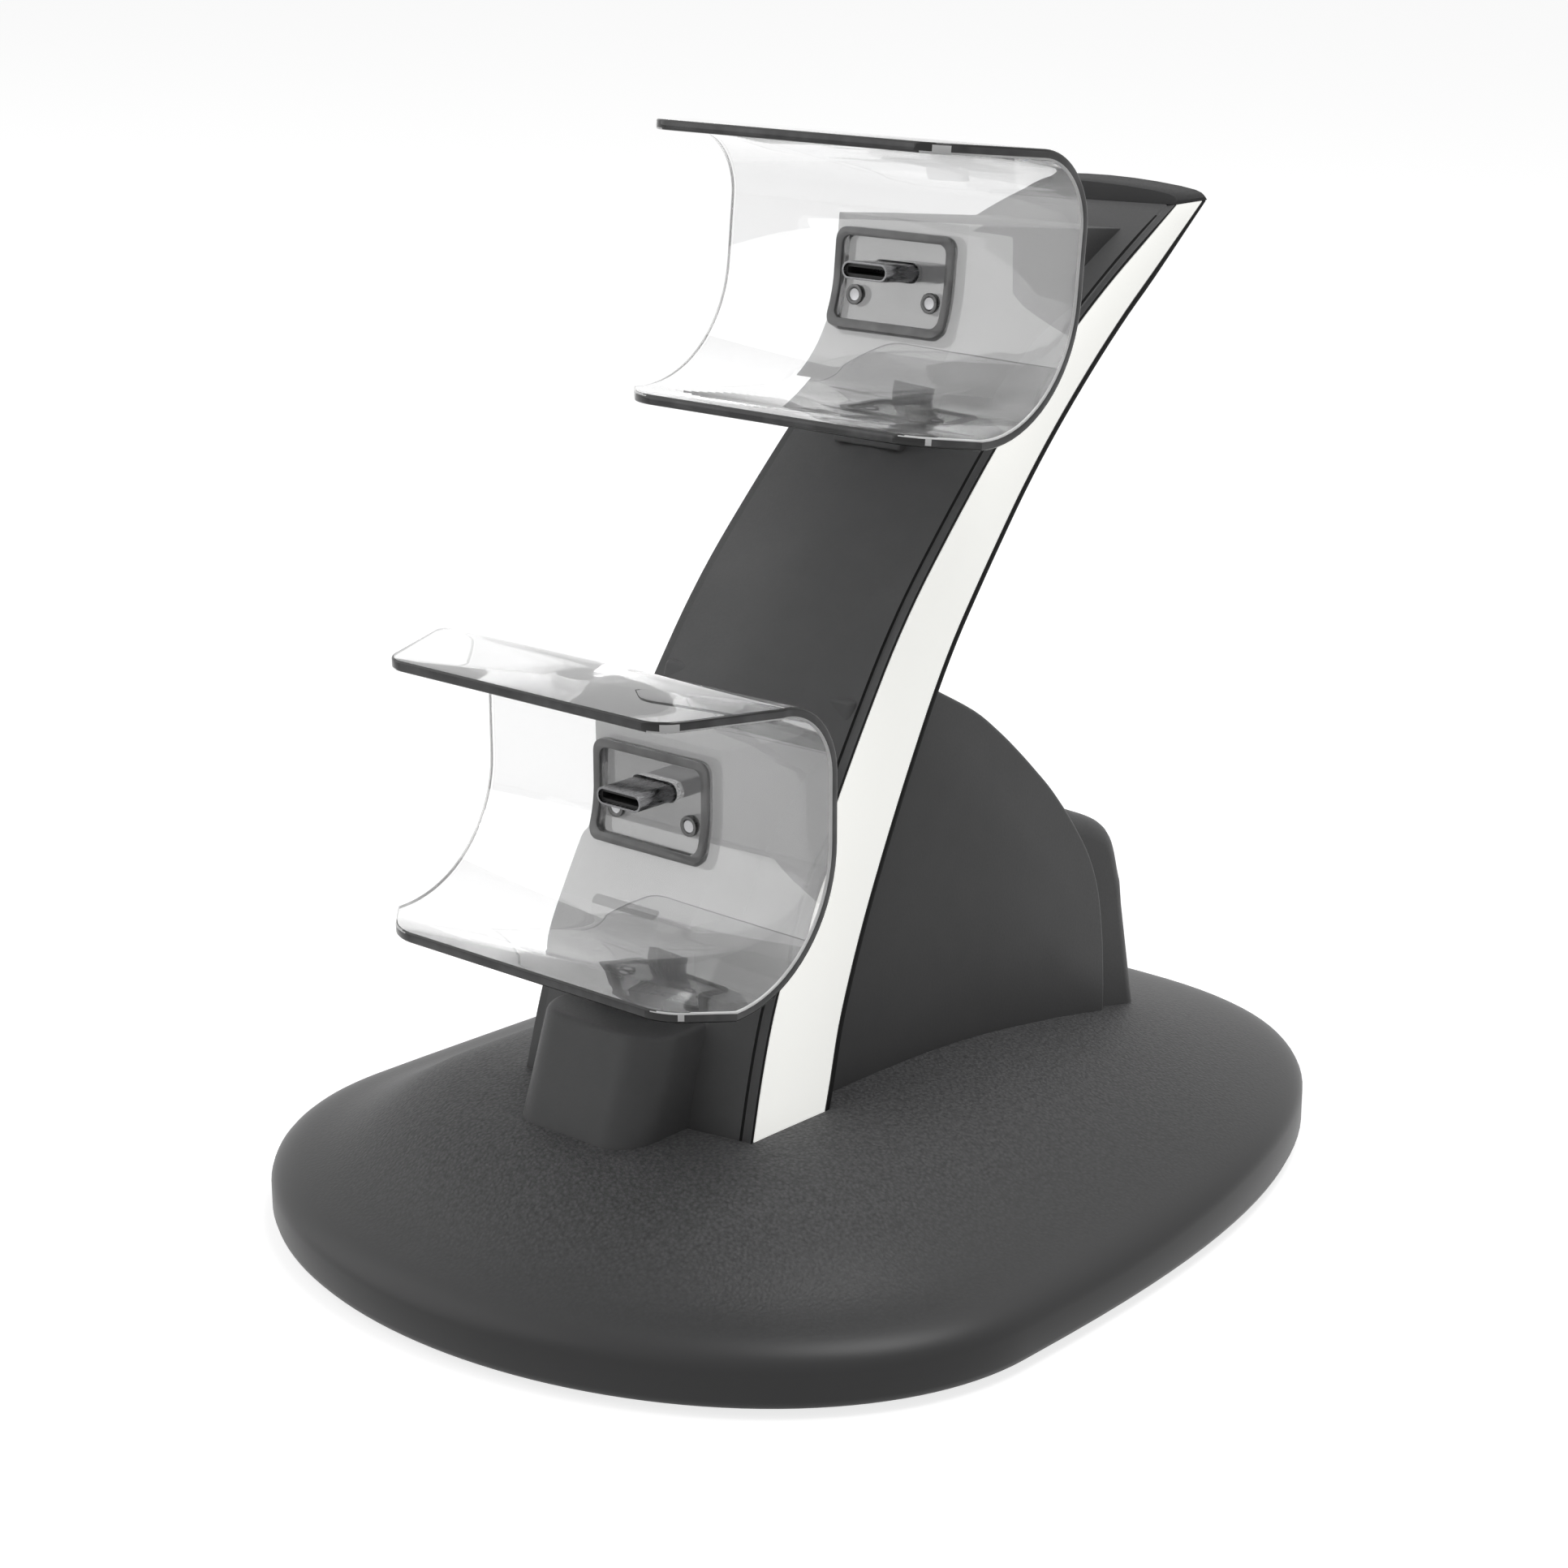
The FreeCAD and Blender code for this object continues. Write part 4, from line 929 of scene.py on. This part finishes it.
def plug_shell(sizes, name):
    """Flat metal sleeve with round sides, open at the front."""
    wide, tall, side_round, wall, hollow, behind = 0.00834, 0.00256, 0.00127, 0.0003, 0.0062, 0.0017
    tip = sizes.cradle_depth - sizes.sheet - sizes.plug_reach
    length = sizes.plug_reach + sizes.sheet + behind
    obj = bar(name, wide, length, tall, (0, tip + length / 2, sizes.plug_level), side_round, 10)
    edit(obj)
    pick(obj, "faces", lambda p, n: n.y < -0.9)
    bpy.ops.mesh.inset(thickness=wall)
    extrude(0, hollow, 0)
    leave_edit()
    soften(obj, 0.00008, 50, 2)
    smooth(obj, 35)
    return obj


def arc_points(y, z, radius, first, last, steps):
    """Points of an arc in the side view, angles in degrees from +y towards +z."""
    turns = [math.radians(first + (last - first) * i / steps) for i in range(steps + 1)]
    return [(y + radius * math.cos(turn), z + radius * math.sin(turn)) for turn in turns]


def prism(name, outline, half_width):
    """Side outline of (y, z) points drawn across the width, half of which is a function of y."""
    rings = [[Vector((sign * half_width(y), y, z)) for y, z in outline] for sign in (-1, 1)]
    obj = sweep(name, rings)
    outward(obj)
    return obj


def skin_front(sizes, height):
    """How far back the line of the upright's front edges lies at a height."""
    rows = upright_stations(sizes)
    for (p, *_), (q, *_) in zip(rows, rows[1:]):
        if p.y <= height <= q.y:
            return p.x + (q.x - p.x) * (height - p.y) / (q.y - p.y)
    return rows[-1][0].x if height > rows[-1][0].y else rows[0][0].x


def from_cradle(tag, y, z):
    """Place in the side view of a point given in a cradle's own frame."""
    place, lean = CRADLES[tag]
    turn = math.radians(lean)
    return (place[1] + y * math.cos(turn) + z * math.sin(turn), place[2] - y * math.sin(turn) + z * math.cos(turn))


def upright_side(sizes, top, bottom):
    """Points down the upright between two places on it, from the upper place to the lower."""
    out = [top]
    for i in range(1, 10):
        z = top[1] + (bottom[1] - top[1]) * i / 10
        out.append((skin_front(sizes, z) - BLOCK_END, z))
    return out + [bottom]


def reach_back(sizes, tag, z):
    """Where a level of the cradle's frame comes close to the upright's front."""
    y = sizes.cradle_depth
    place = from_cradle(tag, y, z)
    while place[0] < skin_front(sizes, place[1]) - BLOCK_END and y < 0.1:
        y += 0.00025
        place = from_cradle(tag, y, z)
    return place


class DOCK_OT_add_mounts(bpy.types.Operator):
    """Model the blocks behind the cradles and the foot in front of the upright"""
    bl_idname = "dock.add_mounts"
    bl_label = "Blocks and foot"

    def execute(self, context):
        sizes = context.scene.dock_sizes
        plastic = bpy.data.materials["charcoal_plastic"]
        depth, bend, half = sizes.cradle_depth, sizes.bend_bottom, sizes.block_width / 2
        block_low, clear, flare, flare_run = 0.0045, 0.0001, 0.0016, 0.04
        web_top, web_half = 0.0055, 0.00625
        # Front of the web under each block, in the cradle's frame, from its lower end.
        webs = {"lower": [(0.0195, -0.01), (0.0195, 0.0042), (0.0203, web_top)],
                "upper": [(0.022, -0.004), (0.022, 0.0042), (0.022, web_top)]}

        def finish(obj):
            soften(obj, 0.0005, 40, 3)
            smooth(obj, 35)

        for tag, (place, _) in CRADLES.items():
            start = math.degrees(math.asin((bend - block_low) / bend))
            front = arc_points(depth - bend, bend, bend + clear, -start, 0, 36) + [(depth + clear, sizes.block_top)]
            outline = [from_cradle(tag, y, z) for y, z in front]
            outline += upright_side(sizes, reach_back(sizes, tag, sizes.block_top), reach_back(sizes, tag, block_low))
            back = place[1] + depth
            block = prism(tag + "_block", outline, lambda y: half + flare * min(max((y - back) / flare_run, 0), 1))
            finish(block)
            settle(block, "charcoal_plastic", plastic, tag + "_mount_block")

            outline = [from_cradle(tag, y, z) for y, z in webs[tag]]
            outline += upright_side(sizes, reach_back(sizes, tag, web_top), reach_back(sizes, tag, webs[tag][0][1]))
            web = prism(tag + "_block_web", outline, lambda y: web_half)
            finish(web)
            settle(web, "charcoal_plastic", plastic, tag + "_mount_block")

        foot_half, foot_reach, foot_tall, lean, sunk, behind = 0.0118, 0.0139, 0.0145, 0.0052, 0.006, 0.004
        foot_y, top, low = sizes.foot_at, sizes.crown + foot_tall, sizes.crown - sunk
        outline = [(foot_y - foot_reach - lean / foot_tall * sunk, low), (foot_y - foot_reach + lean, top),
                   (foot_y + behind, top), (foot_y + behind, low)]
        foot = prism("front_foot", outline, lambda y: foot_half)
        edit(foot)
        pick(foot, "edges", lambda p, n: p.y < foot_y - 0.005 and abs(n.z) > 0.01)
        bpy.ops.mesh.bevel(offset=0.0056, segments=14, affect="EDGES")
        leave_edit()
        soften(foot, 0.0008, 40, 3)
        smooth(foot, 40)
        settle(foot, "charcoal_plastic", plastic, "front_foot_boss")
        return {"FINISHED"}


class DOCK_OT_add_housing(bpy.types.Operator):
    """Model the rear housing with its rounded bay and the opening of the power inlet"""
    bl_idname = "dock.add_housing"
    bl_label = "Rear housing"

    def execute(self, context):
        sizes = context.scene.dock_sizes
        plastic = bpy.data.materials["charcoal_plastic"]
        crown, behind_upright, sunk = sizes.crown, 0.0247, 0.0085
        start = sizes.foot_at + sizes.foot_thick + behind_upright
        curve = between([Vector((start + a * MM, crown + b * MM)) for a, b in HOUSING], 4)
        low, inside, end = crown - sunk, sizes.foot_at + 0.006, curve[-1].x
        fin = prism("rear_housing_fin", [tuple(p) for p in curve] + [(end, low), (inside, low),
                                                                     (inside + 0.02, curve[0].y)],
                    lambda y: sizes.housing_width / 2)
        soften(fin, 0.0007, 40, 3)
        smooth(fin, 35)
        front, bay_end, high = end - 0.026, end + 0.009, crown + 0.028
        bow = between([Vector((end - 0.0065, high)), Vector((end + 0.0036, high - 0.0052)),
                       Vector((bay_end - 0.0014, high - 0.0145))], 8)
        bay = prism("rear_housing_bay", [(front, high)] + [tuple(p) for p in bow]
                    + [(bay_end - 0.0008, crown + 0.0095), (bay_end + 0.003, low), (front, low)],
                    lambda y: sizes.bay_width / 2)
        edit(bay)
        pick(bay, "edges", lambda p, n: abs(n.x) < TINY and p.y > end - 0.006 and p.z > crown - 0.002)
        bpy.ops.mesh.bevel(offset=0.0035, segments=6, affect="EDGES")
        leave_edit()
        cut_with(bay, bar("inlet", 0.00934, 0.016, 0.00366, (0, bay_end, crown + 0.009), 0.00182, 8))
        soften(bay, 0.0003, 45, 2)
        smooth(bay, 35)
        modifier(bay, "WEIGHTED_NORMAL", keep_sharp=True)
        for piece in (fin, bay):
            settle(piece, "charcoal_plastic", plastic, "rear_housing")
        return {"FINISHED"}


class DOCK_OT_add_stage(bpy.types.Operator):
    """Set the pale floor, the soft light and the camera"""
    bl_idname = "dock.add_stage"
    bl_label = "Stage"

    def execute(self, context):
        deselect()
        bpy.ops.mesh.primitive_plane_add(size=6, location=(0, 0, 0))
        floor = context.object
        floor.name = "studio_floor"
        material = bpy.data.materials.new("studio_floor")
        material.use_nodes = True
        tree = material.node_tree
        tree.nodes.clear()
        out = tree.nodes.new("ShaderNodeOutputMaterial")
        diffuse = tree.nodes.new("ShaderNodeBsdfDiffuse")
        diffuse.inputs["Color"].default_value = (0.5, 0.5, 0.5, 1)
        glow = tree.nodes.new("ShaderNodeEmission")
        tree.links.new(combine(tree, "MULTIPLY", seen_directly(tree), 0.78), glow.inputs["Strength"])
        total = tree.nodes.new("ShaderNodeAddShader")
        tree.links.new(diffuse.outputs[0], total.inputs[0])
        tree.links.new(glow.outputs[0], total.inputs[1])
        tree.links.new(total.outputs[0], out.inputs["Surface"])
        floor.data.materials.append(material)

        world = bpy.data.worlds.new("studio")
        context.scene.world = world
        world.use_nodes = True
        tree = world.node_tree
        back = tree.nodes["Background"]
        back.inputs["Color"].default_value = (1, 1, 1, 1)
        tree.links.new(spread(tree, seen_directly(tree), 0.32, 1.0, (0.0, 1.0)), back.inputs["Strength"])

        for name, place, size, power in (("key_light", (-1.35, -1.0, 1.0), 1.9, 10.5),
                                         ("top_light", (0.25, 0.2, 1.15), 0.5, 5.4)):
            data = bpy.data.lights.new(name, "AREA")
            data.size = size
            data.energy = power
            lamp = bpy.data.objects.new(name, data)
            context.scene.collection.objects.link(lamp)
            lamp.location = place
            lamp.rotation_euler = (Vector((0, -0.01, 0.06)) - Vector(place)).to_track_quat("-Z", "Y").to_euler()

        # Lens, place and turn come from the fit to the photo's outlines.
        data = bpy.data.cameras.new("camera")
        data.lens = 76.825
        data.sensor_width = 36.0
        camera = bpy.data.objects.new("camera", data)
        context.scene.collection.objects.link(camera)
        camera.location = (0.308148, -0.359002, 0.201953)
        camera.rotation_euler = (math.pi / 2 - 0.289908, 0, 0.722221)
        context.scene.camera = camera
        context.scene.view_settings.view_transform = "Standard"
        return {"FINISHED"}


class DOCK_PT_panel(bpy.types.Panel):
    bl_label = "Charging dock"
    bl_idname = "DOCK_PT_panel"
    bl_space_type = "VIEW_3D"
    bl_region_type = "UI"
    bl_category = "Charging dock"

    def draw(self, context):
        for item in STEPS:
            self.layout.operator(item.bl_idname)


STEPS = (DOCK_OT_finish_nodes, DOCK_OT_add_base, DOCK_OT_add_upright, DOCK_OT_add_housing, DOCK_OT_add_mounts,
         DOCK_OT_add_cradles, DOCK_OT_add_plugs, DOCK_OT_add_stage)
CLASSES = (DockSizes, DockFinishes) + STEPS + (DOCK_PT_panel,)


def register():
    for item in CLASSES:
        bpy.utils.register_class(item)
    bpy.types.Scene.dock_sizes = PointerProperty(type=DockSizes)
    bpy.types.Scene.dock_finishes = PointerProperty(type=DockFinishes)


def unregister():
    del bpy.types.Scene.dock_finishes
    del bpy.types.Scene.dock_sizes
    for item in reversed(CLASSES):
        bpy.utils.unregister_class(item)


def main():
    register()
    bpy.ops.dock.finish_nodes()
    bpy.ops.dock.add_base()
    bpy.ops.dock.add_upright()
    bpy.ops.dock.add_housing()
    bpy.ops.dock.add_mounts()
    bpy.ops.dock.add_cradles()
    bpy.ops.dock.add_plugs()
    bpy.ops.dock.add_stage()


if __name__ == "__main__":
    main()
